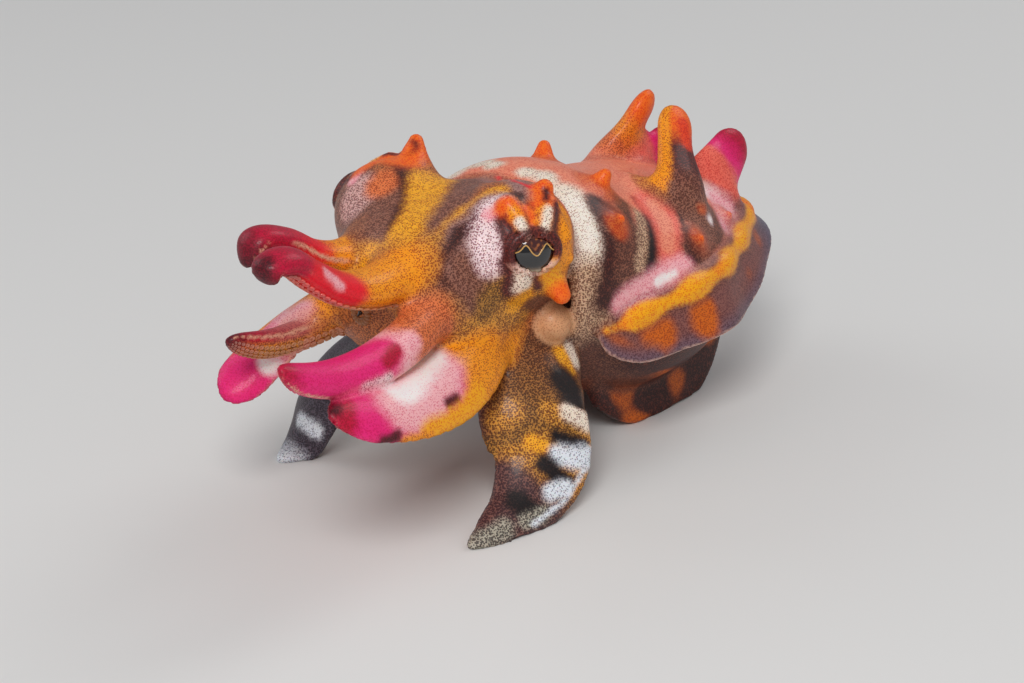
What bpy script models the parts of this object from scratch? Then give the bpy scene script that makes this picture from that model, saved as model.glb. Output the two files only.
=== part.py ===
"""A flamboyant cuttlefish at life size, standing on its two ventral arms and on the ridges under its mantle.

The head points along -X, the tail along +X and the animal's left side along -Y. Z is up and the floor is at 0.
All sizes and places are in millimetres. new_object scales them to metres.
"""
import math

import bmesh
import bpy
import numpy as np
from mathutils import Matrix, Vector

MM = 0.001
GAP = 0.3  # clearance that touching nodes keep
BODY_PITCH = math.radians(3.5)  # nose up: everything below is placed along the body, then pitched
PITCH_X = -5.0  # the floor meets the body's own level here

# Torso, as ellipsoids (centre, radii) that melt into one another
MANTLE_BLOBS = (
    ((16.2, 0.0, 26.9), (15.0, 17.0, 13.7)),
    ((32.0, 0.0, 20.8), (21.0, 19.4, 15.6)),
    ((47.4, 0.0, 22.4), (13.4, 13.2, 9.4)),
)
MANTLE_BLEND = 5.0
MANTLE_HEART = (33.0, 0.0, 22.0)
COLLAR_X = 8.2  # front edge of the mantle on the back
COLLAR_LEAN = 0.10  # how far the edge lies further back for each mm lower down

# Head, likewise
EYE_BULGES = {  # centre, radius and the way the eye looks; the head is turned a little to its left
    "left": ((3.8, -8.9, 34.2), 7.8, (-0.5, -0.86, 0.06)),
    "right": ((0.3, 9.6, 34.9), 7.4, (0.0, 0.95, 0.25)),
}
HEAD_BLOBS = (
    ((0.0, 0.0, 29.5), (12.0, 11.5, 9.8)),
    ((-6.5, 0.0, 28.2), (9.5, 11.6, 9.8)),
    ((7.6, 0.0, 29.4), (9.6, 12.4, 10.2)),
)
HEAD_BLEND = 3.5
HEAD_HEART = (1.0, 0.0, 30.0)

# Eyes
EYE_RADIUS = 4.2
EYE_PROUD = 0.5  # how far the ball stands out of its bulge
LID_WIDE, LID_TALL = 3.1, 2.6
LID_THICK, LID_HEAVY = 0.7, 0.5  # the upper lid is thicker by the second, as a share
LID_OUT = 3.1  # from the middle of the ball

ARM_SIDES = 10
SUCKER_SIDES = 6


def smooth_union(distances, blend):
    """One distance field from several, with soft fillets where they meet."""
    total = distances[0]
    for other in distances[1:]:
        mix = np.clip(0.5 + 0.5 * (other - total) / blend, 0.0, 1.0)
        total = other * (1 - mix) + total * mix - blend * mix * (1 - mix)
    return total


def ellipsoid_field(points, centre, radii):
    """Distance, near enough, from points to an ellipsoid: negative inside."""
    offset = points - np.array(centre)
    scaled = np.linalg.norm(offset / np.array(radii), axis=-1)
    slope = np.linalg.norm(offset / np.square(radii), axis=-1)
    return scaled * (scaled - 1) / np.maximum(slope, 1e-9)


def mantle_field(points):
    blobs = [ellipsoid_field(points, centre, radii) for centre, radii in MANTLE_BLOBS]
    return smooth_union(blobs, MANTLE_BLEND)


def head_field(points):
    blobs = [ellipsoid_field(points, centre, radii) for centre, radii in HEAD_BLOBS]
    for centre, radius, _ in EYE_BULGES.values():
        blobs.append(ellipsoid_field(points, centre, (radius,) * 3))
    return smooth_union(blobs, HEAD_BLEND)


def surface_point(field, heart, direction, level=0.0, reach=60.0):
    """Where rays from the heart leave the body, by halving. direction is one vector or many."""
    direction = np.asarray(direction, float)
    direction = direction / np.linalg.norm(direction, axis=-1, keepdims=True)
    near = np.zeros(direction.shape[:-1])
    far = np.full(direction.shape[:-1], reach)
    for _ in range(30):
        middle = (near + far) / 2
        inside = field(np.array(heart) + direction * middle[..., None]) < level
        near = np.where(inside, middle, near)
        far = np.where(inside, far, middle)
    return np.array(heart) + direction * near[..., None]


def surface_normal(field, point, step=0.05):
    point = np.asarray(point, float)
    slope = [field(point + step * axis) - field(point - step * axis) for axis in np.eye(3)]
    return np.array(slope) / np.linalg.norm(slope)


def floor_level(x):
    """Height of the floor seen from the body, which is pitched up at the front."""
    return (x - PITCH_X) * math.tan(BODY_PITCH)


def unit(vector):
    vector = np.asarray(vector, float)
    return vector / np.linalg.norm(vector)


def curve_through(points, at):
    """Catmull-Rom curve through points, read at values of at from 0 to 1."""
    points = np.asarray(points, float)
    if points.ndim == 1:
        points = points[:, None]
    before = 2 * points[0] - points[1]
    after = 2 * points[-1] - points[-2]
    padded = np.vstack([before, points, after])
    spans = len(points) - 1
    place = np.clip(np.asarray(at, float), 0, 1) * spans
    index = np.minimum(place.astype(int), spans - 1)
    t = (place - index)[:, None]
    a, b, c, d = (padded[index + k] for k in range(4))
    return 0.5 * (2 * b + (c - a) * t + (2 * a - 5 * b + 4 * c - d) * t**2 + (3 * b - a - 3 * c + d) * t**3)


# Meshes

def mesh_from(name, points, faces):
    mesh = bpy.data.meshes.new(name)
    mesh.from_pydata([tuple(p) for p in points], [], [tuple(f) for f in faces])
    shape = bmesh.new()
    shape.from_mesh(mesh)
    bmesh.ops.triangulate(shape, faces=[f for f in shape.faces if len(f.verts) > 3])
    bmesh.ops.recalc_face_normals(shape, faces=shape.faces)
    shape.to_mesh(mesh)
    shape.free()
    return mesh


def ring_loft(name, rings, tip=None, start=None):
    """A closed body from rings of points. Its ends are flat, or run to the points start and tip."""
    count = len(rings[0])
    points = [p for ring in rings for p in ring]
    faces = []
    for row in range(len(rings) - 1):
        for k in range(count):
            a, b = row * count + k, row * count + (k + 1) % count
            faces.append((a, b, b + count, a + count))
    ends = ((0, start), ((len(rings) - 1) * count, tip))
    for first, apex in ends:
        ring = [first + k for k in range(count)]
        if apex is None:
            faces.append(ring)
        else:
            points.append(apex)
            faces += [(ring[k], ring[(k + 1) % count], len(points) - 1) for k in range(count)]
    return mesh_from(name, points, faces)


def star_body(name, field, heart, level=0.0, rings=24, sides=24):
    """A body seen from its heart: rings of rays about the X axis, each ending on the field's surface."""
    tilt = np.linspace(0, math.pi, rings + 1)[1:-1]
    turn = np.arange(sides) * 2 * math.pi / sides
    loops = []
    for angle in tilt:
        rays = np.stack([
            np.full(sides, -math.cos(angle)),
            math.sin(angle) * np.cos(turn),
            math.sin(angle) * np.sin(turn),
        ], -1)
        loops.append(surface_point(field, heart, rays, level))
    front = surface_point(field, heart, (-1.0, 0.0, 0.0), level)
    back = surface_point(field, heart, (1.0, 0.0, 0.0), level)
    return ring_loft(name, loops, tip=back, start=front)


class Limb:
    """A flattened, tapering arm or flap that follows a curve.

    path: points from root to tip. width, keel, thick: values from root to tip for the half-width on one
    edge, on the keeled edge, and the half-thickness. face: the way its sucker side looks, root and tip.
    hand: 1 on the left and -1 on the right, so that keels lie on the outer side of both.
    """

    def __init__(self, path, width, keel, thick, face, hand=1, pinch=1.2, round_from=0.86):
        self.path, self.width, self.keel, self.thick = path, width, keel, thick
        self.face = np.array([unit(face[0]), unit(face[1])])
        self.hand, self.pinch, self.round_from = hand, pinch, round_from
        steps = curve_through(path, np.linspace(0, 1, 60))
        self.middles = steps
        self.length = np.linalg.norm(np.diff(steps, axis=0), axis=1).sum()

    def frame(self, at):
        """Middle, tangent, direction across (towards the keel) and direction of the sucker side."""
        near, far = max(at - 0.01, 0.0), min(at + 0.01, 1.0)
        middle, before, after = curve_through(self.path, [at, near, far])
        along = unit(after - before)
        face = self.face[0] * (1 - at) + self.face[1] * at
        face = unit(face - along * face.dot(along))
        return middle, along, self.hand * np.cross(along, face), face

    def sizes(self, at, extra=0.0):
        values = [float(curve_through(v, [at])[0, 0]) for v in (self.width, self.keel, self.thick)]
        ends = 1.0
        if at > self.round_from:
            far = (at - self.round_from) / (1 - self.round_from)
            ends = math.sqrt(max(1 - far**2, 0.0))
        return [max(v * ends, 0.12) + extra for v in values]

    def ring(self, at, sides, extra=0.0):
        middle, _, across, face = self.frame(at)
        width, keel, thick = self.sizes(at, extra)
        points = []
        for k in range(sides):
            angle = 2 * math.pi * k / sides
            edge, rise = math.cos(angle), math.sin(angle)
            side = (keel if edge > 0 else width) * edge
            lift = abs(rise) ** self.pinch * thick * (0.85 if rise > 0 else -1.15)
            points.append(middle + across * side + face * lift)
        return points

    def body(self, name, start=0.0, end=1.0, rings=9, sides=ARM_SIDES, extra=0.0):
        stations = start + (end - start) * np.linspace(0, 1, rings)
        if end == 1.0:
            stations = start + (1 - start) * np.sin(np.linspace(0, math.pi / 2, rings + 1))[:-1] ** 0.9
        loops = [self.ring(at, sides, extra) for at in stations]
        tip = None
        if end == 1.0:
            tip = self.frame(1.0)[0] + self.frame(1.0)[1] * extra
        return ring_loft(name, loops, tip=tip)

    def on_face(self, at, share):
        """A point on the sucker side, share of the way from the middle to an edge, and the way out."""
        middle, _, across, face = self.frame(at)
        width, keel, thick = self.sizes(at)
        rise = math.sqrt(max(1 - share**2, 0.0)) ** self.pinch
        side = (keel if share > 0 else width) * share
        return middle + across * side + face * thick * 0.85 * rise, face


# Arms, from the midline of the back (1) round to the belly (4). The left ones are the near ones in the photo.
# Each has its path from the root inside the head to the tip, half-widths, keel half-widths,
# half-thicknesses and the way its suckers look.
ARMS = {
    "arm_1_left": Limb(
        path=[(0, -2.6, 31), (-7.1, -4, 32.9), (-12.5, -4.4, 32.6), (-18.6, -4.6, 32.1), (-24.5, -4.8, 33.5),
              (-29.6, -5, 36.4), (-34, -5.4, 39.4), (-37.4, -5.6, 39.4), (-36.6, -5.6, 37.4)],
        width=[3.4, 3.5, 3.4, 3.1, 2.9, 2.5, 1.6], keel=[3.4, 3.5, 3.4, 3.1, 2.9, 2.5, 1.6],
        thick=[3.0, 3.0, 2.6, 2.1, 1.8, 1.5, 1.0], face=[(0, 0.15, -1), (0.6, 0.1, -0.7)], pinch=1.0),
    "arm_1_right": Limb(
        path=[(1, 2.6, 31), (-4, 4, 33.4), (-8.7, 4.6, 33.4), (-14.2, 5, 33.2), (-19.3, 5.4, 34.7),
              (-23.8, 5.6, 37.4), (-28.2, 5.8, 38.6), (-30.4, 5.6, 35.6)],
        width=[3.4, 3.5, 3.3, 3.0, 2.8, 2.7, 2.0], keel=[3.4, 3.5, 3.3, 3.0, 2.8, 2.7, 2.0],
        thick=[3.0, 2.8, 2.4, 2.0, 1.8, 1.5, 1.1], face=[(0, -0.15, -1), (0.6, -0.1, -0.7)], hand=-1, pinch=1.0),
    "arm_2_left": Limb(
        path=[(0, -4.5, 28.4), (-5.7, -6.6, 27.9), (-13.2, -8.6, 27.3), (-19.1, -10, 26.2), (-26, -11, 25.5),
              (-32.8, -11.6, 25.9), (-39, -12.2, 27.6), (-43.3, -12.6, 30)],
        width=[3.0, 3.0, 2.9, 2.7, 2.3, 1.6], keel=[3.0, 3.0, 3.0, 3.0, 2.6, 1.7],
        thick=[2.6, 2.6, 2.3, 1.9, 1.6, 1.0], face=[(0, 0.75, -0.65), (0.3, 0.6, -0.75)], pinch=1.1),
    "arm_2_right": Limb(
        path=[(0, 3.5, 27.5), (-7.7, 6.2, 26.0), (-11.8, 7.4, 24.4), (-16.2, 8.4, 23.2), (-22, 9.2, 22.9),
              (-26.3, 9.6, 23.7), (-30, 9.9, 25.2)],
        width=[2.9, 2.9, 2.8, 2.5, 2.0, 1.3], keel=[2.9, 2.9, 2.9, 2.7, 2.2, 1.4],
        thick=[2.6, 2.4, 2.1, 1.8, 1.5, 0.9], face=[(0, -0.75, -0.65), (0.3, -0.6, -0.75)], hand=-1, pinch=1.1),
    "arm_3_left": Limb(
        path=[(4, -4.5, 26), (-0.7, -6.8, 24.3), (-6.5, -9.4, 22.6), (-14.4, -12, 20.6), (-22.6, -14, 20.4),
              (-30.4, -15, 21.4), (-37.6, -14.8, 23.2)],
        width=[3.0, 3.2, 3.5, 3.6, 3.5, 2.8], keel=[3.4, 3.8, 5.0, 5.4, 4.4, 3.0],
        thick=[2.6, 2.5, 2.2, 1.9, 1.6, 1.0], face=[(0.1, 0.75, -0.65), (0.2, 0.6, -0.75)], pinch=1.45),
    "arm_3_right": Limb(
        path=[(0, 2.5, 28), (-8, 5, 27.8), (-13.4, 7.4, 26.4), (-16.6, 10.2, 23.6), (-19.5, 12.4, 20.2),
              (-22.5, 13.9, 17.4), (-26.6, 14.6, 15.2)],
        width=[3.0, 3.0, 3.1, 3.2, 3.3, 2.8], keel=[3.2, 3.4, 4.0, 4.4, 4.2, 3.0],
        thick=[2.6, 2.4, 2.1, 1.8, 1.5, 1.0], face=[(0.1, -0.6, -0.8), (0.75, 0.45, -0.5)], hand=-1, pinch=1.45),
    "arm_4_left": Limb(
        path=[(10, -4.5, 25), (7.6, -8.6, 19.6), (3.4, -12, 16), (0.4, -14.4, 12.8), (-0.2, -15.8, 10),
              (-1, -16.8, 7.1), (-3.5, -17.5, 4.2), (-7, -18, 1.6), (-11.5, -18, 0), (-15.6, -17.4, -0.3)],
        width=[4.0, 5.4, 6.8, 6.8, 6.0, 4.4, 3.2, 1.7], keel=[4.8, 7.0, 7.6, 7.4, 7.0, 5.4, 3.6, 1.7],
        thick=[2.6, 2.6, 2.4, 2.0, 1.8, 1.6, 1.4, 0.9], face=[(0.55, 0.8, 0), (0.5, 0.6, -0.75)], pinch=1.35),
    "arm_4_right": Limb(
        path=[(8, 4.5, 25), (5.4, 8.8, 19.4), (2, 12.8, 15.4), (-1.4, 16, 11.8), (-3.8, 18, 8.2),
              (-4.8, 19.4, 4.8), (-5.4, 20.4, 2), (-7, 21, 0.4), (-10.4, 21.4, 0)],
        width=[4.0, 5.2, 5.6, 5.4, 4.8, 3.8, 2.8, 1.6], keel=[4.4, 5.2, 6.0, 6.4, 5.8, 4.6, 3.2, 1.6],
        thick=[2.6, 2.6, 2.4, 2.0, 1.8, 1.6, 1.4, 0.9], face=[(0.75, -0.4, -0.3), (0.7, 0.1, -0.7)],
        hand=-1, pinch=1.35),
}
ARM_JOINT = 0.56  # share of its length at which an arm is divided
ARM_ROOT_RINGS, ARM_TIP_RINGS = 7, 10

# Suckers, in two staggered rows along each arm to its tip
SUCKER_ROW = 0.42  # share of the way from the arm's middle to its edge
SUCKER_SHARE = 0.27  # radius, as a share of the arm's half-width
SUCKER_STEP = 2.2  # along the arm from one to the next, in radii
SUCKER_FROM, SUCKER_TO = 0.2, 0.965
SUCKER_MIN = 0.32
SUCKER_CLEAR = 3.6  # least distance of a rim from the middle line of another arm
MOUTH_CLEAR = 5.0

# Upright flaps of skin on the back: x and y of the root, tip, sizes from root to tip
BACK_FLAPS = {
    "mantle_flap_mid_left": dict(
        root=(36.5, -10.2), tip=(43.2, -5.2, 44.0), width=[6.6, 4.0, 2.7, 2.9], thick=[4.6, 2.4, 1.7, 1.6]),
    "mantle_flap_mid_right": dict(
        root=(44.5, 8.0), tip=(50.6, 4.6, 43.4), width=[6.6, 4.0, 2.7, 2.8], thick=[4.6, 2.4, 1.7, 1.6]),
    "mantle_flap_rear_left": dict(
        root=(49.8, -6.6), tip=(57.8, -6.2, 37.4), width=[6.0, 4.6, 3.6, 2.6], thick=[3.2, 2.0, 1.6, 1.4]),
    "mantle_flap_rear_right": dict(
        root=(50.4, 6.6), tip=(57.0, 6.4, 35.6), width=[6.0, 4.6, 3.6, 2.6], thick=[3.2, 2.0, 1.6, 1.4]),
}

# Small pointed papillae on the mantle: x and y where they stand, height, foot half-width
MANTLE_CONES = (
    ((25.6, 4.2), 3.2, 2.8),
    ((21.6, -8.6), 2.4, 2.8),
    ((18.8, -14.0), 1.2, 2.6),
    ((18.8, 14.0), 1.2, 2.6),
    ((33.5, -16.6), 1.1, 2.0),
    ((33.5, 16.6), 1.1, 2.0),
    ((46.0, -12.4), 1.0, 1.6),
    ((46.0, 12.4), 1.0, 1.6),
)

# Papillae over and under the eyes: root, tip, half-width at foot and profile as (share of height, of foot)
KNOBBED = ((0.0, 1.0), (0.25, 0.72), (0.55, 0.6), (0.85, 0.5))
PEAKED = ((0.0, 1.0), (0.3, 0.6), (0.6, 0.38), (0.86, 0.26))
EYE_PAPILLAE = {
    "over_left": ((4.6, -10.6, 37.4), (6.0, -12.8, 42.4), 2.7, KNOBBED),
    "over_right": ((4.2, 9.2, 40.4), (6.4, 10.2, 44.6), 4.4, PEAKED),
    "under_left": ((5.0, -12.8, 31.0), (5.4, -16.6, 26.6), 2.9, KNOBBED),
    "under_right": ((1.6, 13.6, 31.4), (0.4, 17.2, 27.4), 2.9, KNOBBED),
}
COLLAR_LOBES = {"left": ((8.2, -11.6, 22.4), 2.7), "right": ((6.6, 12.4, 22.4), 2.7)}  # folds under the eyes

# Fins: they run back along the mantle's sides, rising a little, hang out and down, and nearly meet at the tail
FIN_LEVEL = [21.2, 24.4, 26.0, 25.6]
FIN_START_X, FIN_END_X = 12.5, 59.0
FIN_WIDTHS = [6.4, 7.4, 8.2, 8.0, 7.0, 6.0, 5.0]
FIN_LOBES = (0.09, 0.06)  # stretch over which the front and rear ends are rounded, as a share of its length
FIN_CRESTS, FIN_CREST_SWELL = 5, 0.35  # lobes along its thick root
FIN_DROOP = [0.90, 0.86, 0.84, 0.82, 0.74, 0.6, 0.5]  # how steeply it hangs: 0 flat, 1 straight down
FIN_ROOT_THICK, FIN_EDGE_THICK = 1.9, 0.55
FIN_STATIONS, FIN_ROWS = 22, 4
FIN_CLOSER = 0.022  # how much closer its stations stand at the ends
FIN_WAVES, FIN_WAVE_HEIGHT = 3.5, 0.5
FIN_TAIL_GAP = 1.2
FIN_START_Y = 17.2
FIN_SUNK = 1.6  # of its root inside the mantle
FIN_BEND_OVER = 3.0  # it turns down over this stretch beyond its root
FIN_BEND = 0.86 * math.pi / 2

# Ridges under the mantle on which it walks
FOOT_Y = 8.2
FOOT_START_X, FOOT_END_X = 21.0, 51.0
FOOT_THICK = 1.7
FOOT_SPLAY = 1.6
FOOT_STATIONS = 12
FOOT_ROOT = 2.2  # of its root inside the belly
FOOT_BOW = 0.8  # outward bow of each ridge, halfway along
RIDGE_SUNK = 0.6  # below the floor, and cut flat there


# Objects

def collection(name):
    group = bpy.data.collections.new(name)
    bpy.context.scene.collection.children.link(group)
    return group


def new_object(name, mesh, group):
    body = bpy.data.objects.new(name, mesh)
    body.data.transform(((MM, 0, 0, 0), (0, MM, 0, 0), (0, 0, MM, 0), (0, 0, 0, 1)))
    group.objects.link(body)
    return body


def skin_material(name, colour, roughness):
    material = bpy.data.materials.new(name)
    material.use_nodes = True
    shader = material.node_tree.nodes["Principled BSDF"]
    shader.inputs["Base Color"].default_value = (*colour, 1.0)
    shader.inputs["Roughness"].default_value = roughness
    shader.inputs["Metallic"].default_value = 0.0
    material.diffuse_color = (*colour, 1.0)
    return material


def keep_largest_shell(mesh):
    """Leaves only the closed surface that holds the most faces."""
    shape = bmesh.new()
    shape.from_mesh(mesh)
    left = set(shape.faces)
    shells = []
    while left:
        front = [left.pop()]
        shell = list(front)
        while front:
            face = front.pop()
            near = {f for edge in face.edges for f in edge.link_faces if f in left}
            left -= near
            front += near
            shell += near
        shells.append(shell)
    shells.sort(key=lambda shell: sum(f.calc_area() for f in shell), reverse=True)
    loose = [f for shell in shells[1:] for f in shell]
    bmesh.ops.delete(shape, geom=loose, context="FACES")
    shape.to_mesh(mesh)
    shape.free()


def finish_node(name, body, material, joined=(), cutters=()):
    """Fuses the joined pieces to the body, cuts it clear of its neighbours and puts it in the model."""
    base = new_object(name + "_raw", body, RAW)
    if joined:
        pieces = collection(name + "_pieces")
        for k, mesh in enumerate(joined):
            new_object(f"{name}_piece_{k}", mesh, pieces)
        union = base.modifiers.new("join", "BOOLEAN")
        union.operation, union.operand_type, union.collection = "UNION", "COLLECTION", pieces
        union.solver = "MANIFOLD"
    for cutter in cutters:
        cut = base.modifiers.new("clear", "BOOLEAN")
        cut.operation, cut.object, cut.solver = "DIFFERENCE", cutter, "MANIFOLD"
    bpy.context.view_layer.update()
    made = base.evaluated_get(bpy.context.evaluated_depsgraph_get())
    mesh = bpy.data.meshes.new_from_object(made)
    bpy.data.objects.remove(base)
    if joined:
        for piece in list(pieces.objects):
            bpy.data.objects.remove(piece)
        bpy.data.collections.remove(pieces)
    keep_largest_shell(mesh)
    mesh.materials.clear()
    mesh.materials.append(material)
    mesh.shade_smooth()
    mesh.set_sharp_from_angle(angle=math.radians(50))
    node = bpy.data.objects.new(name, mesh)
    MODEL.objects.link(node)
    return node


def new_cutter(name, mesh):
    cutter = new_object(name, mesh, CUTTERS)
    cutter.hide_render = True
    cutter.display_type = "WIRE"
    return cutter


def box_mesh(name, low, high):
    shape = bmesh.new()
    bmesh.ops.create_cube(shape, size=1.0)
    size = np.array(high) - np.array(low)
    middle = (np.array(high) + np.array(low)) / 2
    for vertex in shape.verts:
        vertex.co = Vector(np.array(vertex.co) * size + middle)
    mesh = bpy.data.meshes.new(name)
    shape.to_mesh(mesh)
    shape.free()
    return mesh


def ball_mesh(name, centre, radius, rings=8, sides=14, stretch=(1, 1, 1)):
    shape = bmesh.new()
    bmesh.ops.create_uvsphere(shape, u_segments=sides, v_segments=rings, radius=radius)
    for vertex in shape.verts:
        vertex.co = Vector(np.array(vertex.co) * np.array(stretch) + np.array(centre))
    mesh = bpy.data.meshes.new(name)
    shape.to_mesh(mesh)
    shape.free()
    return mesh


def cone_papilla(name, root, tip, foot, shape=PEAKED, sides=8, sunk=1.6):
    """A cone of skin with a flared foot, its root sunk below the surface."""
    root, tip = np.array(root, float), np.array(tip, float)
    along = unit(tip - root)
    height = np.linalg.norm(tip - root)
    across = unit(np.cross(along, (1.0, 0.3, 0.2)))
    other = np.cross(along, across)
    rings = []
    for lift, share in [(-sunk, 1.15)] + [(rise * height, share) for rise, share in shape]:
        ring = []
        for j in range(sides):
            angle = 2 * math.pi * j / sides
            ring.append(root + along * lift + foot * share * (across * math.cos(angle) + other * math.sin(angle)))
        rings.append(ring)
    return ring_loft(name, rings, tip=tip)


def ring_mesh(name, centre, aim, wide, tall, thick, heavy=0.0, turns=14, sides=6):
    """An oval ring about the aim axis, such as an eyelid's rim or the lips, thicker at its top if heavy."""
    aim = unit(aim)
    across = unit(np.cross(aim, (0.0, 0.0, 1.0)))
    other = np.cross(across, aim)
    points, faces = [], []
    for j in range(turns):
        turn = 2 * math.pi * j / turns
        out = across * math.cos(turn) + other * math.sin(turn)
        middle = np.array(centre) + across * wide * math.cos(turn) + other * tall * math.sin(turn)
        here = thick * (1 + heavy * max(math.sin(turn), 0.0))
        for k in range(sides):
            angle = 2 * math.pi * k / sides
            points.append(middle + out * here * math.cos(angle) + aim * here * math.sin(angle))
            next_j, next_k = (j + 1) % turns, (k + 1) % sides
            faces.append((j * sides + k, j * sides + next_k, next_j * sides + next_k, next_j * sides + k))
    return mesh_from(name, points, faces)


for old in list(bpy.data.objects):
    bpy.data.objects.remove(old)
MODEL = collection("flamboyant_cuttlefish")
CUTTERS = collection("cutters")
RAW = collection("raw")

BROWN = skin_material("mantle_skin", (0.30, 0.10, 0.07), 0.45)
AMBER = skin_material("head_skin", (0.62, 0.25, 0.06), 0.45)
MAGENTA = skin_material("arm_skin", (0.70, 0.05, 0.18), 0.4)
FLAME = skin_material("flap_skin", (0.80, 0.20, 0.05), 0.45)
VEIL = skin_material("fin_skin", (0.45, 0.22, 0.22), 0.4)
FOOT_SKIN = skin_material("leg_skin", (0.28, 0.16, 0.08), 0.5)
EYE_DARK = skin_material("eye", (0.03, 0.03, 0.02), 0.08)
PALE = skin_material("lip_skin", (0.75, 0.50, 0.42), 0.45)

floor_box = box_mesh("cut_floor", (-80, -60, -30), (110, 60, 0.0))
for vertex in floor_box.vertices:
    vertex.co.z += floor_level(vertex.co.x)
floor_cut = new_cutter("cut_floor", floor_box)
head_cut = new_cutter("cut_head", star_body("cut_head", head_field, HEAD_HEART, GAP, 26, 24))
mantle_cut = new_cutter("cut_mantle", star_body("cut_mantle", mantle_field, MANTLE_HEART, GAP, 26, 26))
lobe_cuts = [
    new_cutter("cut_lobe_" + side, ball_mesh("cut_lobe", centre, radius + GAP * 1.2, 7, 10))
    for side, (centre, radius) in COLLAR_LOBES.items()]


def eye_centre(side):
    """Middle of the eyeball and the way it looks."""
    bulge, radius, aim = EYE_BULGES[side]
    return np.array(bulge) + unit(aim) * (radius + EYE_PROUD - EYE_RADIUS), unit(aim)


def make_eyes():
    for side in EYE_BULGES:
        finish_node("eye_" + side, ball_mesh("eye", eye_centre(side)[0], EYE_RADIUS, 9, 14), EYE_DARK)


def make_head():
    pieces = [cone_papilla(name, *sizes) for name, sizes in EYE_PAPILLAE.items()]
    for side, (centre, radius) in COLLAR_LOBES.items():
        pieces.append(ball_mesh("lobe_" + side, centre, radius, 7, 10))
    cutters = []
    for side in EYE_BULGES:
        centre, aim = eye_centre(side)
        lid_at = centre + aim * LID_OUT
        pieces.append(ring_mesh("lid_" + side, lid_at, aim, LID_WIDE, LID_TALL, LID_THICK, LID_HEAVY))
        cutters.append(new_cutter("cut_eye_" + side, ball_mesh("socket", centre, EYE_RADIUS + GAP * 1.2, 9, 14)))
    body = star_body("head", head_field, HEAD_HEART, 0.0, 24, 24)
    finish_node("head", body, AMBER, pieces, cutters)


def make_mantle():
    pieces = []
    for k, ((x, y), height, foot) in enumerate(MANTLE_CONES):
        root = surface_point(mantle_field, (x, y, MANTLE_HEART[2]), (0.0, 0.0, 1.0))
        tip = root + surface_normal(mantle_field, root) * height
        pieces.append(cone_papilla(f"cone_{k}", root - unit(tip - root) * 0.4, tip, foot))
    front = box_mesh("cut_collar", (-30, -30, -10), (COLLAR_X, 30, 60))
    for vertex in front.vertices:
        vertex.co.x += COLLAR_LEAN * (40 - vertex.co.z)
    collar = new_cutter("cut_collar", front)
    body = star_body("mantle", mantle_field, MANTLE_HEART, 0.0, 28, 26)
    finish_node("mantle", body, BROWN, pieces, [head_cut, collar, funnel_cut, *lobe_cuts])


def make_back_flaps():
    in_front = {}  # by side, what the flap behind has to clear
    for name, flap in BACK_FLAPS.items():
        x, y = flap["root"]
        foot = surface_point(mantle_field, (x, y, MANTLE_HEART[2]), (0.0, 0.0, 1.0))
        out = surface_normal(mantle_field, foot)
        tip = np.array(flap["tip"], float)
        path = [foot - out * 3.0, foot + out * 1.6, foot * 0.5 + tip * 0.5 + out * 0.4, tip]
        side = np.sign(tip[1])
        limb = Limb(path, flap["width"], flap["width"], flap["thick"],
                    face=[(-0.45, side, 0.1), (-0.45, side, 0.1)], pinch=1.0, round_from=0.8)
        finish_node(name, limb.body(name, rings=9, sides=12), FLAME, (), [mantle_cut] + in_front.get(side, []))
        grown = limb.body("grown", rings=9, sides=12, extra=GAP * 1.2)
        in_front.setdefault(side, []).append(new_cutter("cut_" + name, grown))


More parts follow.
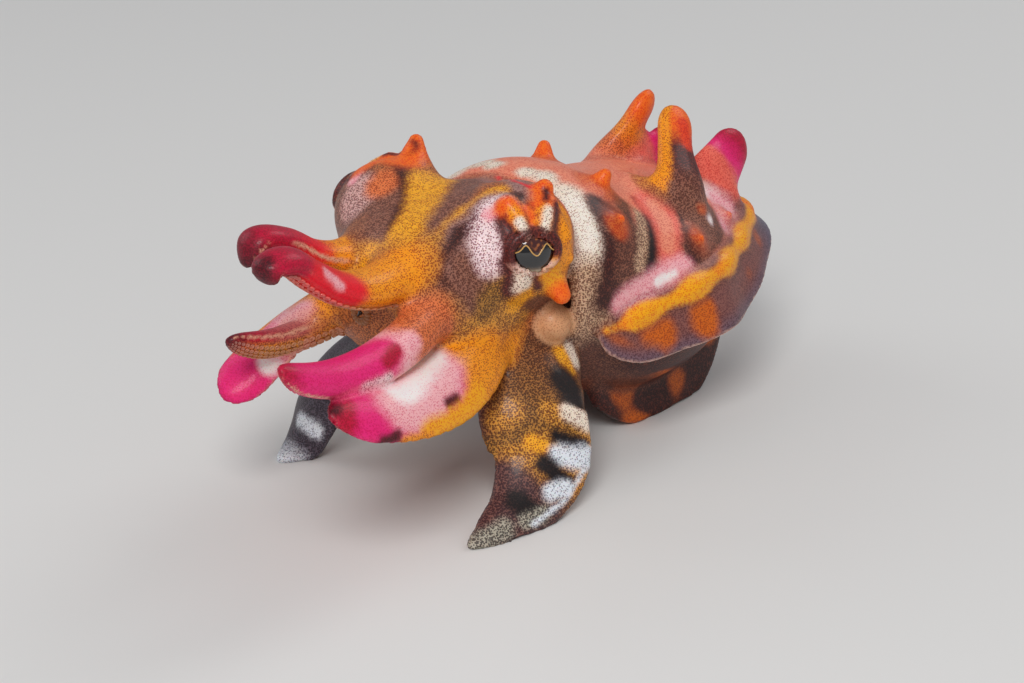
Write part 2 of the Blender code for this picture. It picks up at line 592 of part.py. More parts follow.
def fin_mesh(name, side):
    """The fin as a thin, waved sheet: rows of points from its root inside the mantle to its free edge."""
    end_angle = math.atan2(FIN_TAIL_GAP, FIN_END_X - MANTLE_HEART[0])
    start_angle = math.atan2(FIN_START_Y, FIN_START_X - MANTLE_HEART[0])
    upper, lower = [], []
    for k in range(FIN_STATIONS + 1):
        along = k / FIN_STATIONS
        along -= FIN_CLOSER * math.sin(2 * math.pi * along)
        angle = start_angle + (end_angle - start_angle) * along
        height = float(curve_through(FIN_LEVEL, [along])[0, 0])
        aim = (math.cos(angle), side * math.sin(angle), (height - MANTLE_HEART[2]) / MANTLE_BLOBS[1][1][1])
        root = surface_point(mantle_field, MANTLE_HEART, aim)
        out = unit(surface_normal(mantle_field, root) * (1, 1, 0))
        ends = min(along / FIN_LOBES[0], (1 - along) / FIN_LOBES[1], 1.0)
        width = float(curve_through(FIN_WIDTHS, [along])[0, 0]) * max(math.sqrt(1 - (1 - ends) ** 2), 0.25)
        droop = float(curve_through(FIN_DROOP, [along])[0, 0])
        row_up, row_down = [], []
        for j in range(FIN_ROWS + 1):
            share = j / FIN_ROWS
            reach = -FIN_SUNK + (width + FIN_SUNK) * share
            bend = FIN_BEND * droop * min(max(reach, 0) / FIN_BEND_OVER, 1.0)
            fall = max(reach, 0) * math.sin(bend)
            spread = reach if reach < 0 else reach * math.cos(bend)
            wave = FIN_WAVE_HEIGHT * share**2 * math.sin(2 * math.pi * FIN_WAVES * along)
            spine = root + out * (spread + wave) - np.array((0, 0, 1.0)) * fall
            crest = FIN_ROOT_THICK + FIN_CREST_SWELL * math.sin(2 * math.pi * FIN_CRESTS * along)
            thick = crest + (FIN_EDGE_THICK - crest) * min(share * 1.6, 1.0)
            lean = out * math.sin(bend) + np.array((0, 0, 1.0)) * math.cos(bend)
            row_up.append(spine + lean * thick / 2)
            row_down.append(spine - lean * thick / 2)
        upper.append(row_up)
        lower.append(row_down)
    rows = FIN_ROWS + 1
    points = [p for row in upper + lower for p in row]
    below = len(upper) * rows
    faces = []
    for k in range(FIN_STATIONS):
        for j in range(FIN_ROWS):
            a, b = k * rows + j, (k + 1) * rows + j
            faces += [(a, b, b + 1), (a, b + 1, a + 1)]
            a, b = a + below, b + below
            faces += [(a, b + 1, b), (a, a + 1, b + 1)]
        for j in (0, FIN_ROWS):
            a, b = k * rows + j, (k + 1) * rows + j
            faces.append((a, b, b + below, a + below))
    for k in (0, FIN_STATIONS):
        for j in range(FIN_ROWS):
            a = k * rows + j
            faces.append((a, a + 1, a + 1 + below, a + below))
    return mesh_from(name, points, faces)


def make_fins():
    for name, side in (("fin_left", -1), ("fin_right", 1)):
        finish_node(name, fin_mesh(name, side), VEIL, (), [mantle_cut])


def make_walking_ridges():
    """Two thin ridges under the mantle whose middle stretch stands flat on the floor."""
    for name, side in (("walking_ridge_left", -1), ("walking_ridge_right", 1)):
        rings = []
        for k in range(FOOT_STATIONS + 1):
            along = k / FOOT_STATIONS
            x = FOOT_START_X + (FOOT_END_X - FOOT_START_X) * along
            bow = math.sin(math.pi * along) ** 0.6
            y = side * (FOOT_Y + FOOT_BOW * math.sin(math.pi * along))
            belly = surface_point(mantle_field, (x, y, MANTLE_HEART[2]), (0, 0, -1.0))
            low = belly[2] + (floor_level(x) - RIDGE_SUNK - belly[2]) * min(bow * 1.12, 1.0)
            high = belly[2] + FOOT_ROOT
            half = FOOT_THICK / 2 * (0.45 + 0.55 * bow)
            foot_y = y + side * FOOT_SPLAY * bow
            rings.append([
                (x, y - half * 1.3, high), (x, foot_y - half, low), (x, foot_y + half, low), (x, y + half * 1.3, high),
            ])
        mesh = ring_loft(name, [np.array(r, float) for r in rings])
        finish_node(name, mesh, FOOT_SKIN, (), [mantle_cut, floor_cut])


def funnel_limb():
    return Limb(
        path=[(11.5, 0, 19.5), (6.5, 0, 17.4), (1.5, 0, 16.0), (-3.0, 0, 15.4)],
        width=[5.6, 4.6, 3.4, 2.6], keel=[5.6, 4.6, 3.4, 2.6], thick=[3.8, 3.3, 2.6, 2.1],
        face=[(0, 0, -1), (0, 0, -1)], pinch=1.0, round_from=1.0)


def make_funnel():
    limb = funnel_limb()
    tip, along, _, _ = limb.frame(1.0)
    bore = Limb([tip - along * 3.0, tip + along * 1.0], [0.9, 1.7], [0.9, 1.7], [0.8, 1.3],
                [(0, 0, -1), (0, 0, -1)], pinch=1.0, round_from=1.0)
    mouth = new_cutter("cut_funnel_mouth", bore.body("bore", 0.0, 0.999, 3, 10))
    finish_node("funnel", limb.body("funnel", 0.0, 0.999, 7, 12), PALE, (), [head_cut, mouth])


MOUTH_AIM = unit((-1.0, 0.0, -0.06))
MOUTH_AT = surface_point(head_field, HEAD_HEART, MOUTH_AIM)


def make_mouth():
    """The lips: a low dome in the middle of the arms, with a ring round a small pit."""
    centre, out = MOUTH_AT, MOUTH_AIM
    dome = ball_mesh("mouth", centre + out * -0.6, 3.4, 8, 12, (0.7, 1.0, 1.0))
    lips = ring_mesh("lips", centre + out * 1.55, out, 1.7, 1.7, 0.6, turns=10, sides=5)
    pit = new_cutter("cut_mouth_pit", ball_mesh("pit", centre + out * 2.3, 1.1, 6, 10))
    finish_node("mouth", dome, PALE, [lips], [head_cut, pit, *ARM_CUTS.values()])


def sucker(name, foot, out, along, radius):
    """A dished cup on a short stalk, its foot sunk into the arm."""
    across = np.cross(out, along)
    height = 0.5 * radius + 0.25
    rings = []
    for lift, share in ((-0.5, 0.8), (height, 1.0), (height * 0.92, 0.62)):
        turns = [2 * math.pi * k / SUCKER_SIDES for k in range(SUCKER_SIDES)]
        rings.append([
            foot + out * lift + radius * share * (along * math.cos(t) + across * math.sin(t)) for t in turns])
    return ring_loft(name, rings, tip=foot + out * (height - 0.45 * radius))


def arm_suckers(limb, start, end):
    """Suckers between two stations of an arm, where they are clear of the head, mouth, floor and other arms."""
    found, at, row = [], SUCKER_FROM, 1
    others = [other.middles for other in ARMS.values() if other is not limb]
    while at < SUCKER_TO:
        radius = max(SUCKER_SHARE * limb.sizes(at)[0], SUCKER_MIN)
        foot, out = limb.on_face(at, SUCKER_ROW * row)
        _, along, _, _ = limb.frame(at)
        rim = foot + out * (radius + 0.3)
        margin = (radius + GAP) / limb.length
        clear = (
            start + margin < at < end - margin
            and head_field(foot) > radius + GAP
            and rim[2] > floor_level(rim[0]) + radius
            and np.linalg.norm(rim - MOUTH_AT) > MOUTH_CLEAR
            and min(np.linalg.norm(line - rim, axis=1).min() for line in others) > SUCKER_CLEAR
        )
        if clear:
            found.append(sucker(f"sucker_{len(found)}", foot, out, along, radius))
        at += SUCKER_STEP * radius / limb.length
        row = -row
    return found


def arm_pieces(name, limb):
    """The arm's two lengths, with the usual gap between them."""
    half_gap = GAP / 2 / limb.length
    root = limb.body(name, 0.0, ARM_JOINT - half_gap, ARM_ROOT_RINGS)
    tip = limb.body(name, ARM_JOINT + half_gap, 1.0, ARM_TIP_RINGS)
    return root, tip


def make_arms():
    for name, limb in ARMS.items():
        material = FOOT_SKIN if name.startswith("arm_4") else MAGENTA
        root, tip = arm_pieces(name, limb)
        cutters = [head_cut] + [ARM_CUTS[other] for other in NEIGHBOURS.get(name, ())]
        if name.startswith("arm_4"):
            cutters += [floor_cut, mantle_cut, funnel_cut, *lobe_cuts]
        finish_node(name + "_root", root, material, arm_suckers(limb, 0.0, ARM_JOINT), cutters)
        finish_node(name + "_tip", tip, material, arm_suckers(limb, ARM_JOINT, 1.0), cutters)
        whole = limb.body(name + "_grown", 0.0, 1.0, 14, ARM_SIDES, GAP * 1.15)
        ARM_CUTS[name] = new_cutter("cut_" + name, whole)


ARM_CUTS = {}
NEIGHBOURS = {
    "arm_1_right": ("arm_1_left",),
    "arm_2_left": ("arm_1_left",),
    "arm_2_right": ("arm_1_right",),
    "arm_3_left": ("arm_2_left",),
    "arm_3_right": ("arm_2_right",),
    "arm_4_left": ("arm_3_left",),
    "arm_4_right": ("arm_3_right",),
}

funnel_cut = new_cutter("cut_funnel", funnel_limb().body("cut_funnel", 0.0, 0.999, 7, 12, GAP))
make_eyes()
make_head()
make_mantle()
make_back_flaps()
make_fins()
make_walking_ridges()
make_funnel()
make_arms()
make_mouth()
bpy.data.collections.remove(RAW)


def stand_up(bodies):
    """Pitches the animal on to the floor and puts the middle of its length and width at the origin."""
    turn = Matrix.Rotation(BODY_PITCH, 4, "Y") @ Matrix.Translation((-PITCH_X * MM, 0, 0))
    for body in bodies:
        body.data.transform(turn)
    corners = np.array([v.co for body in MODEL.objects for v in body.data.vertices])
    middle = (corners.min(0) + corners.max(0)) / 2
    for body in bodies:
        body.data.transform(Matrix.Translation((-middle[0], -middle[1], -corners[:, 2].min())))


stand_up(list(MODEL.objects) + list(CUTTERS.objects))
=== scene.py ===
# %% [markdown]
# # A flamboyant cuttlefish
# This is a still, life-size model of the animal, about 105 mm long. The solids from the imported model give
# the frame: every flesh node is replaced here by one skin, and only the eyes stay separate pieces. The
# model is loaded first.

# %% Load the frame
import math

import bpy
import numpy as np
from mathutils import Matrix, Vector
from mathutils.bvhtree import BVHTree


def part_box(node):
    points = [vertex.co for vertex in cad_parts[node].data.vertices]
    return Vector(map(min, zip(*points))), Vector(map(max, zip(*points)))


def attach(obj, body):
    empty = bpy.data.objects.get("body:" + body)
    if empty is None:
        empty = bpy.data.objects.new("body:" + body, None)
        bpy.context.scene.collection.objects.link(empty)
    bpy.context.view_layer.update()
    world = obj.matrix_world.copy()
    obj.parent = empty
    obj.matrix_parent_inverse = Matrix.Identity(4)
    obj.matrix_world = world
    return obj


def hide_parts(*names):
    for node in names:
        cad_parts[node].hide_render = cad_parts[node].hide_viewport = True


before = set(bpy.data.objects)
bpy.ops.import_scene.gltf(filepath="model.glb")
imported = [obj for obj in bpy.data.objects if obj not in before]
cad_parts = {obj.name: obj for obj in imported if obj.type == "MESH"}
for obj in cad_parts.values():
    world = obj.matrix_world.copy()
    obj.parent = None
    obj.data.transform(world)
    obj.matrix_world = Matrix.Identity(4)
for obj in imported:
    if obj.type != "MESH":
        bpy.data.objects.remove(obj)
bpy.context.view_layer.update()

# %% [markdown]
# ## One set of axes for the body
# The sizes of the animal are easiest to give along its own body: head towards -X, tail towards +X, its left
# side towards -Y, in millimetres. In the frame the body is pitched up by a few degrees and moved so that
# the middle of its length and width is at the origin. The move isn't typed in: the left eye's place in the
# frame gives it.

# %% From the body's axes to the frame
MM = 0.001
BODY_PITCH = math.radians(3.5)
PITCH_X = -5.0
EYE_BULGES = {  # centre, radius and the way the eye looks
    "left": ((3.8, -8.9, 34.2), 7.8, (-0.5, -0.86, 0.06)),
    "right": ((0.3, 9.6, 34.9), 7.4, (0.0, 0.95, 0.25)),
}
EYE_RADIUS = 4.2
EYE_PROUD = 0.5  # how far the ball stands out of its bulge

PITCH = np.array([
    (math.cos(BODY_PITCH), 0.0, math.sin(BODY_PITCH)),
    (0.0, 1.0, 0.0),
    (-math.sin(BODY_PITCH), 0.0, math.cos(BODY_PITCH)),
])


def unit(vectors):
    vectors = np.asarray(vectors, float)
    return vectors / np.maximum(np.linalg.norm(vectors, axis=-1, keepdims=True), 1e-12)


def eye_centre(side):
    """Middle of the eyeball and the way it looks, along the body."""
    bulge, radius, aim = EYE_BULGES[side]
    return np.array(bulge) + unit(aim) * (radius + EYE_PROUD - EYE_RADIUS), unit(aim)


def pitched(points):
    return (np.asarray(points, float) - (PITCH_X, 0.0, 0.0)) @ PITCH.T


eye_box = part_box("eye_left")
SHIFT = np.array((eye_box[0] + eye_box[1]) / 2) / MM - pitched(eye_centre("left")[0])


def to_frame(points):
    return (pitched(points) + SHIFT) * MM


def above_floor(points):
    return points @ PITCH[2] - PITCH[2][0] * PITCH_X + SHIFT[2]


print("shift in mm", SHIFT.round(2))

# %% [markdown]
# ## The photograph's camera
# A camera can be described along the body too: where it looks, how far away it is and how many pixels a
# millimetre takes at the animal. The same numbers then place the markings, because a ray through a pixel of
# the photograph meets the skin where that marking lies.

# %% Camera
VIEW_TURN = math.radians(40.0)  # to the animal's left of its nose
VIEW_DOWN = math.radians(19.0)  # how far the camera looks down
VIEW_FAR, PIXELS_PER_MM = 330.0, 7.9  # distance of the left eye, and its scale in the photograph
LEFT_EYE_FRONT, LEFT_EYE_PIXEL = (0.0, -15.5, 35.0), (535.0, 250.0)
IMAGE_WIDTH, IMAGE_HEIGHT, SENSOR = 1024.0, 683.0, 36.0

LOOK = np.array((
    math.cos(VIEW_TURN) * math.cos(VIEW_DOWN),
    math.sin(VIEW_TURN) * math.cos(VIEW_DOWN),
    -math.sin(VIEW_DOWN),
))
RIGHT = np.array((math.sin(VIEW_TURN), -math.cos(VIEW_TURN), 0.0))
UP = np.cross(RIGHT, LOOK)


def pixel_offset(x, y):
    """From the middle of the picture to a pixel, in pixels along the camera's own axes."""
    return RIGHT * (x - IMAGE_WIDTH / 2) + UP * (IMAGE_HEIGHT / 2 - y)


CAMERA_POINT = np.array(LEFT_EYE_FRONT) - LOOK * VIEW_FAR - pixel_offset(*LEFT_EYE_PIXEL) / PIXELS_PER_MM


def pixel_ray(x, y):
    """The way from the camera through a pixel of the photograph."""
    return unit(LOOK * VIEW_FAR * PIXELS_PER_MM + pixel_offset(x, y))


def make_camera():
    data = bpy.data.cameras.new("camera")
    data.sensor_width = SENSOR
    data.lens = VIEW_FAR * PIXELS_PER_MM * SENSOR / IMAGE_WIDTH
    data.clip_start, data.clip_end = 0.01, 20.0
    made = bpy.data.objects.new("camera", data)
    axes = np.column_stack([PITCH @ RIGHT, PITCH @ UP, PITCH @ -LOOK])
    made.matrix_world = Matrix.Translation(Vector(to_frame(CAMERA_POINT))) @ Matrix(axes.tolist()).to_4x4()
    bpy.context.scene.collection.objects.link(made)
    bpy.context.scene.camera = made
    return made


camera = make_camera()
print("lens", round(camera.data.lens, 1), "place", [round(v, 3) for v in camera.location])

# %% [markdown]
# ## Soft bodies as distance fields
# A cuttlefish has no edges: the arms flow out of the head, and the flaps out of the mantle. A distance
# field gives that softness. Each form is a function that says how far a point is from its surface, and a
# smooth union of two functions fills the corner between them with a fillet. Boxes and spheres with a
# Boolean would leave a crease.

# %% Helpers for fields
FAR = 12.0  # the distance that a form reports outside its own box


def smooth_union(first, second, blend):
    mix = np.clip(0.5 + 0.5 * (second - first) / blend, 0.0, 1.0)
    return second * (1 - mix) + first * mix - blend * mix * (1 - mix)


def smooth_cut(first, cutter, blend):
    """What is left of the first form outside the cutter."""
    return -smooth_union(-first, cutter, blend)


def ellipsoid(points, centre, radii):
    offset = points - np.array(centre)
    scaled = np.sqrt(np.square(offset / np.array(radii)).sum(-1))
    slope = np.sqrt(np.square(offset / np.square(radii)).sum(-1))
    return scaled * (scaled - 1) / np.maximum(slope, 1e-9)


def blobs(points, shapes, blend):
    total = ellipsoid(points, *shapes[0])
    for shape in shapes[1:]:
        total = smooth_union(total, ellipsoid(points, *shape), blend)
    return total


def smooth_step(value, low, high):
    share = np.clip((np.asarray(value, float) - low) / (high - low), 0.0, 1.0)
    return share * share * (3 - 2 * share)


def curve_through(points, at):
    """Catmull-Rom curve through points, read at values of at from 0 to 1."""
    points = np.asarray(points, float)
    points = points[:, None] if points.ndim == 1 else points
    padded = np.vstack([2 * points[0] - points[1], points, 2 * points[-1] - points[-2]])
    spans = len(points) - 1
    place = np.clip(np.asarray(at, float), 0, 1) * spans
    index = np.minimum(place.astype(int), spans - 1)
    t = (place - index)[:, None]
    a, b, c, d = (padded[index + k] for k in range(4))
    return 0.5 * (2 * b + (c - a) * t + (2 * a - 5 * b + 4 * c - d) * t**2 + (3 * b - a - 3 * c + d) * t**3)


def surface_point(field, heart, direction, reach=60.0):
    """Where rays from the heart leave a body, by halving."""
    direction = unit(direction)
    near = np.zeros(direction.shape[:-1])
    far = np.full(direction.shape[:-1], reach)
    for _ in range(24):
        middle = (near + far) / 2
        inside = field(np.array(heart) + direction * middle[..., None]) < 0
        near, far = np.where(inside, middle, near), np.where(inside, far, middle)
    return np.array(heart) + direction * near[..., None]


def surface_normal(field, points, step=0.05):
    points = np.asarray(points, float)
    slope = [field(points + step * axis) - field(points - step * axis) for axis in np.eye(3)]
    return unit(np.stack(slope, -1))


# %% [markdown]
# ## Mantle and head
# The mantle is the bag of muscle behind the head. It is a few overlapping ellipsoids. Its front edge is
# free, like the mouth of a sock that the head looks out of, so it is cut by a leaning plane and hollowed a
# little behind it. The head is wide and low, with two big eye bulges that look different ways, because the
# animal turns its head.

# %% Mantle and head
MANTLE_BLOBS = (
    ((16.2, 0.0, 26.9), (15.0, 17.0, 13.7)),
    ((32.0, 0.0, 20.8), (21.0, 19.4, 15.6)),
    ((47.4, 0.0, 22.4), (13.4, 13.2, 9.4)),
)
MANTLE_BLEND = 5.0
MANTLE_HEART = (33.0, 0.0, 22.0)
COLLAR_X, COLLAR_LEAN, COLLAR_MIDDLE = 8.2, 0.10, 40.0
COLLAR_WALL, COLLAR_DEEP = 1.7, 3.5  # thickness of its rim and depth of the hollow behind it

HEAD_BLOBS = (
    ((0.0, 0.0, 29.5), (12.0, 11.5, 9.8)),
    ((-6.5, 0.0, 28.2), (9.5, 11.6, 9.8)),
    ((7.6, 0.0, 29.4), (9.6, 12.4, 10.2)),
    *((centre, (radius,) * 3) for centre, radius, _ in EYE_BULGES.values()),
)
HEAD_BLEND = 3.5


def mantle_bag(points):
    return blobs(points, MANTLE_BLOBS, MANTLE_BLEND)


def behind_collar(points):
    """How far points lie behind the plane of the mantle's front edge."""
    return points[..., 0] - (COLLAR_X + COLLAR_LEAN * (COLLAR_MIDDLE - points[..., 2]))


def head_ball(points):
    return blobs(points, HEAD_BLOBS, HEAD_BLEND)


# %% [markdown]
# ## Arms, flaps and fins as ribbons
# Arms, skin flaps and fins are all the same kind of thing: a flattened, tapering limb along a curve. A
# ribbon keeps a row of stations with a middle, a direction across and a direction out of its face. A point
# is measured from the nearest place between two stations. That gives its distance, and later its place for
# the colours.

# %% Ribbons
STATIONS = 64
RIBBON_MARGIN, BEAD_MARGIN = 4.0, 3.0  # how far round a form its distance is worked out
SUCKER_SIDE_FULL, BACK_FULL = 0.85, 1.15  # a limb is flatter on its sucker side than on its back


class Ribbon:
    """Rows at even stations from root to tip. low and keel are half-widths, thick is the half-thickness."""

    def __init__(self, middle, across, face, low, keel, thick, pinch=1.2, edge_thick=None):
        self.middle, self.across, self.face = middle, across, face
        self.low, self.keel, self.thick, self.pinch = low, keel, thick, pinch
        self.edge_thick = edge_thick  # half-thickness at the keel, where a fin thins out
        steps = np.gradient(middle, axis=0)
        self.step = np.linalg.norm(steps, axis=1)
        self.along = unit(steps)
        self.length = np.linalg.norm(np.diff(middle, axis=0), axis=1).sum()
        reach = max(low.max(), keel.max(), thick.max()) + RIBBON_MARGIN
        self.box = middle.min(0) - reach, middle.max(0) + reach

    def near(self, points):
        return np.all((points > self.box[0]) & (points < self.box[1]), axis=-1)

    def local(self, points):
        """Share of the way to the tip, millimetres across, out of the face and past the end, and sizes."""
        apart = -2 * points @ self.middle.T + np.square(self.middle).sum(1)
        place = apart.argmin(1).astype(float)
        last = len(self.middle) - 1
        for _ in range(3):  # move along until the offset stands square to the limb
            inside = np.clip(place, 0, last)
            index = np.minimum(inside.astype(int), last - 1)
            mix = (inside - index)[:, None]
            blend = lambda row: row[index] * (1 - mix) + row[index + 1] * mix
            ahead = ((points - blend(self.middle)) * blend(self.along)).sum(1) / self.step[index]
            beyond = ((inside >= last) & (ahead > 0)) | ((inside <= 0) & (ahead < 0))
            place = inside + np.where(beyond, ahead, np.clip(ahead, -0.5, 0.5))
        past = np.maximum(place - last, 0) * self.step[-1] + np.maximum(-place, 0) * self.step[0]
        place = np.clip(place, 0, last)
        index = np.minimum(place.astype(int), last - 1)
        mix = (place - index)[:, None]
        offset = points - blend(self.middle)
        u = (offset * blend(self.across)).sum(1)
        v = (offset * blend(self.face)).sum(1)
        sizes = [blend(row[:, None])[:, 0] for row in (self.low, self.keel, self.thick)]
        return place / last, u, v, past, sizes

    def distance(self, points):
        found = np.full(len(points), FAR)
        near = self.near(points)
        if not near.any():
            return found
        _, u, v, past, (low, keel, thick) = self.local(points[near])
        wide = np.where(u > 0, keel, low)
        if self.edge_thick is not None:  # a thin sheet with a round edge
            thick = thick + (self.edge_thick - thick) * np.clip((u / wide + 1) * 0.8, 0, 1)
            flat = np.hypot(np.maximum(np.abs(u) - wide + thick, 0), v) - thick
            found[near] = np.where(past > 0, np.hypot(np.maximum(flat + thick, 0), past) - thick, flat)
            return found
        tall = thick * np.where(v > 0, SUCKER_SIDE_FULL, BACK_FULL)
        s, t = u / wide, np.abs(v) / tall
        power = 2 / self.pinch
        scaled = np.sqrt(s**2 + t**power)
        slope = np.sqrt((s / wide) ** 2 + (power / 2 * np.maximum(t, 1e-4) ** (power - 1) / tall) ** 2)
        flat = scaled * (scaled - 1) / np.maximum(slope, 1e-6)
        found[near] = np.where(past > 0, np.hypot(np.maximum(flat, 0), past), flat)
        return found


def limb(path, width, keel, thick, face, hand=1, pinch=1.2, round_from=0.86):
    """A ribbon from a few named sizes. hand is 1 on the left and -1 on the right, as keels lie outside."""
    at = np.linspace(0, 1, STATIONS)
    middle = curve_through(path, at)
    along = unit(np.gradient(middle, axis=0))
    stops = np.linspace(0, 1, len(face))
    look = np.stack([np.interp(at, stops, row) for row in unit(face).T], axis=1)
    look = unit(look - along * (look * along).sum(1, keepdims=True))
    ends = np.sqrt(1 - np.clip((at - round_from) / max(1 - round_from, 1e-6), 0, 1) ** 2)
    sizes = [np.maximum(curve_through(row, at)[:, 0] * ends, 0.12) for row in (width, keel, thick)]
    return Ribbon(middle, hand * np.cross(along, look), look, *sizes, pinch=pinch)

# %% [markdown]
# ## Eight arms
# The arms stand round the mouth in four pairs. The first pair is lifted and curled, the second and third
# reach forward, and the broad fourth pair is what the animal walks on. Each arm is a few named sizes from
# its root inside the head to its tip: its path, its two half-widths, half-thickness and the way its suckers
# look.

# %% Arms
ARMS = {
    "arm_1_left": limb(
        path=[(0, -2.6, 31), (-7.1, -4, 32.9), (-12.5, -4.4, 32.6), (-18.6, -4.6, 32.1), (-24.5, -4.8, 33.5),
              (-29.6, -5, 36.4), (-34, -5.4, 39.4), (-37.4, -5.6, 39.4), (-36.6, -5.6, 37.4)],
        width=[3.4, 3.5, 3.4, 3.1, 2.9, 2.5, 1.6], keel=[3.4, 3.5, 3.4, 3.1, 2.9, 2.5, 1.6],
        thick=[3.0, 3.0, 2.6, 2.1, 1.8, 1.5, 1.0], pinch=1.0,
        face=[(0, 0.15, -1), (0, 0.1, -1), (0, 0.1, -1), (-0.2, 0.1, -1), (0.5, 0.1, -0.8), (1, 0.1, 0.1)]),
    "arm_1_right": limb(
        path=[(1, 2.6, 31), (-4, 4, 33.4), (-8.7, 4.6, 33.4), (-14.2, 5, 33.2), (-19.3, 5.4, 34.7),
              (-23.8, 5.6, 37.4), (-28.2, 5.8, 38.6), (-30.4, 5.6, 35.6)],
        width=[3.4, 3.5, 3.3, 3.0, 2.8, 2.7, 2.0], keel=[3.4, 3.5, 3.3, 3.0, 2.8, 2.7, 2.0],
        thick=[3.0, 2.8, 2.4, 2.0, 1.8, 1.5, 1.1], hand=-1, pinch=1.0,
        face=[(0, -0.15, -1), (0, -0.1, -1), (0, -0.1, -1), (-0.2, -0.1, -1), (0.5, -0.1, -0.8),
              (1, -0.1, -0.3)]),
    "arm_2_left": limb(
        path=[(0, -4.5, 28.4), (-5.7, -6.6, 27.9), (-13.2, -8.6, 27.3), (-19.1, -10, 26.2), (-26, -11, 25.5),
              (-32.8, -11.6, 25.9), (-39, -12.2, 27.6), (-43.3, -12.6, 30)],
        width=[3.0, 3.0, 2.9, 2.7, 2.3, 1.6], keel=[3.0, 3.0, 3.0, 3.0, 2.6, 1.7],
        thick=[2.6, 2.6, 2.3, 1.9, 1.6, 1.0], face=[(0, 0.75, -0.65), (0.3, 0.6, -0.75)], pinch=1.1),
    "arm_2_right": limb(
        path=[(0, 3.5, 27.5), (-7.7, 6.2, 26.0), (-11.8, 7.4, 24.4), (-16.2, 8.4, 23.2), (-22, 9.2, 22.9),
              (-26.3, 9.6, 23.7), (-30, 9.9, 25.2)],
        width=[2.9, 2.9, 2.8, 2.5, 2.0, 1.3], keel=[2.9, 2.9, 2.9, 2.7, 2.2, 1.4],
        thick=[2.6, 2.4, 2.1, 1.8, 1.5, 0.9], face=[(0, -0.75, -0.65), (0.3, -0.6, -0.75)],
        hand=-1, pinch=1.1),
    "arm_3_left": limb(
        path=[(4, -4.5, 26), (-0.7, -6.8, 24.3), (-6.5, -9.4, 22.6), (-14.4, -12, 20.6), (-22.6, -14, 20.4),
              (-30.4, -15, 21.4), (-37.6, -14.8, 23.2)],
        width=[3.0, 3.2, 3.5, 3.6, 3.5, 2.8], keel=[3.4, 5.4, 6.4, 5.8, 4.5, 3.0],
        thick=[2.6, 2.5, 2.2, 1.9, 1.6, 1.0], face=[(0.1, 0.75, -0.65), (0.2, 0.6, -0.75)], pinch=1.45),
    "arm_3_right": limb(
        path=[(0, 2.5, 28), (-8, 5, 27.8), (-13.4, 7.4, 26.4), (-16.6, 10.2, 23.6), (-19.5, 12.4, 20.2),
              (-22.5, 13.9, 17.4), (-26.6, 14.6, 15.2)],
        width=[3.0, 3.0, 3.1, 3.2, 3.3, 2.8], keel=[3.2, 3.4, 4.0, 4.4, 4.2, 3.0],
        thick=[2.6, 2.4, 2.1, 1.8, 1.5, 1.0], face=[(0.1, -0.6, -0.8), (0.75, 0.45, -0.5)],
        hand=-1, pinch=1.45),
    "arm_4_left": limb(
        path=[(10, -4.5, 25), (7.6, -8.6, 19.6), (3.4, -12, 16), (0.4, -14.4, 12.8), (-0.2, -15.8, 10),
              (-1, -16.8, 7.1), (-3.5, -17.5, 4.2), (-7, -18, 1.6), (-11.5, -18, 0), (-15.6, -17.4, -0.3)],
        width=[4.0, 5.4, 6.8, 6.8, 6.0, 4.4, 3.2, 1.7], keel=[4.8, 7.0, 7.6, 7.4, 7.0, 5.4, 3.6, 1.7],
        thick=[2.6, 2.6, 2.4, 2.0, 1.8, 1.6, 1.4, 0.9], face=[(0.55, 0.8, 0), (0.5, 0.6, -0.75)], pinch=1.35),
    "arm_4_right": limb(
        path=[(8, 4.5, 25), (5.4, 8.8, 19.4), (2, 12.8, 15.4), (-1.4, 16, 11.8), (-3.8, 18, 8.2),
              (-4.8, 19.4, 4.8), (-5.4, 20.4, 2), (-7, 21, 0.4), (-10.4, 21.4, 0)],
        width=[4.0, 5.2, 5.6, 5.4, 4.8, 3.8, 2.8, 1.6], keel=[4.4, 5.2, 6.0, 6.4, 5.8, 4.6, 3.2, 1.6],
        thick=[2.6, 2.6, 2.4, 2.0, 1.8, 1.6, 1.4, 0.9], face=[(0.75, -0.4, -0.3), (0.7, 0.1, -0.7)],
        hand=-1, pinch=1.35),
}
ROOT_BLEND, TIP_BLEND = 4.2, 0.5  # how softly an arm leaves the head, and how sharply its far end stays apart
print({name: round(arm.length, 1) for name, arm in ARMS.items()})

# %% [markdown]
# ## Flaps and papillae
# The animal raises four upright flaps on its back, and small pointed papillae on the mantle and round the
# eyes. A flap is a short ribbon that stands on the mantle. A papilla is a row of beads, from a wide one at
# its foot to a narrow one at its tip, because the distance to a bead is the simplest formula there is.

# %% Flaps and papillae
BACK_FLAPS = {  # x and y of the root, tip, half-widths and half-thicknesses
    "mid_left": ((36.5, -10.2), (43.2, -5.2, 44.0), [6.6, 4.0, 2.7, 2.9], [4.6, 2.4, 1.7, 1.6]),
    "mid_right": ((44.5, 8.0), (50.6, 4.6, 43.4), [6.6, 4.0, 2.7, 2.8], [4.6, 2.4, 1.7, 1.6]),
    "rear_left": ((49.8, -6.6), (57.8, -6.2, 37.4), [6.0, 4.6, 3.6, 2.6], [3.2, 2.0, 1.6, 1.4]),
    "rear_right": ((50.4, 6.6), (57.0, 6.4, 35.6), [6.0, 4.6, 3.6, 2.6], [3.2, 2.0, 1.6, 1.4]),
}
FLAP_BLEND = 3.4


def standing_on_mantle(x, y):
    root = surface_point(mantle_bag, (x, y, MANTLE_HEART[2]), (0.0, 0.0, 1.0))
    return root, surface_normal(mantle_bag, root[None])[0]


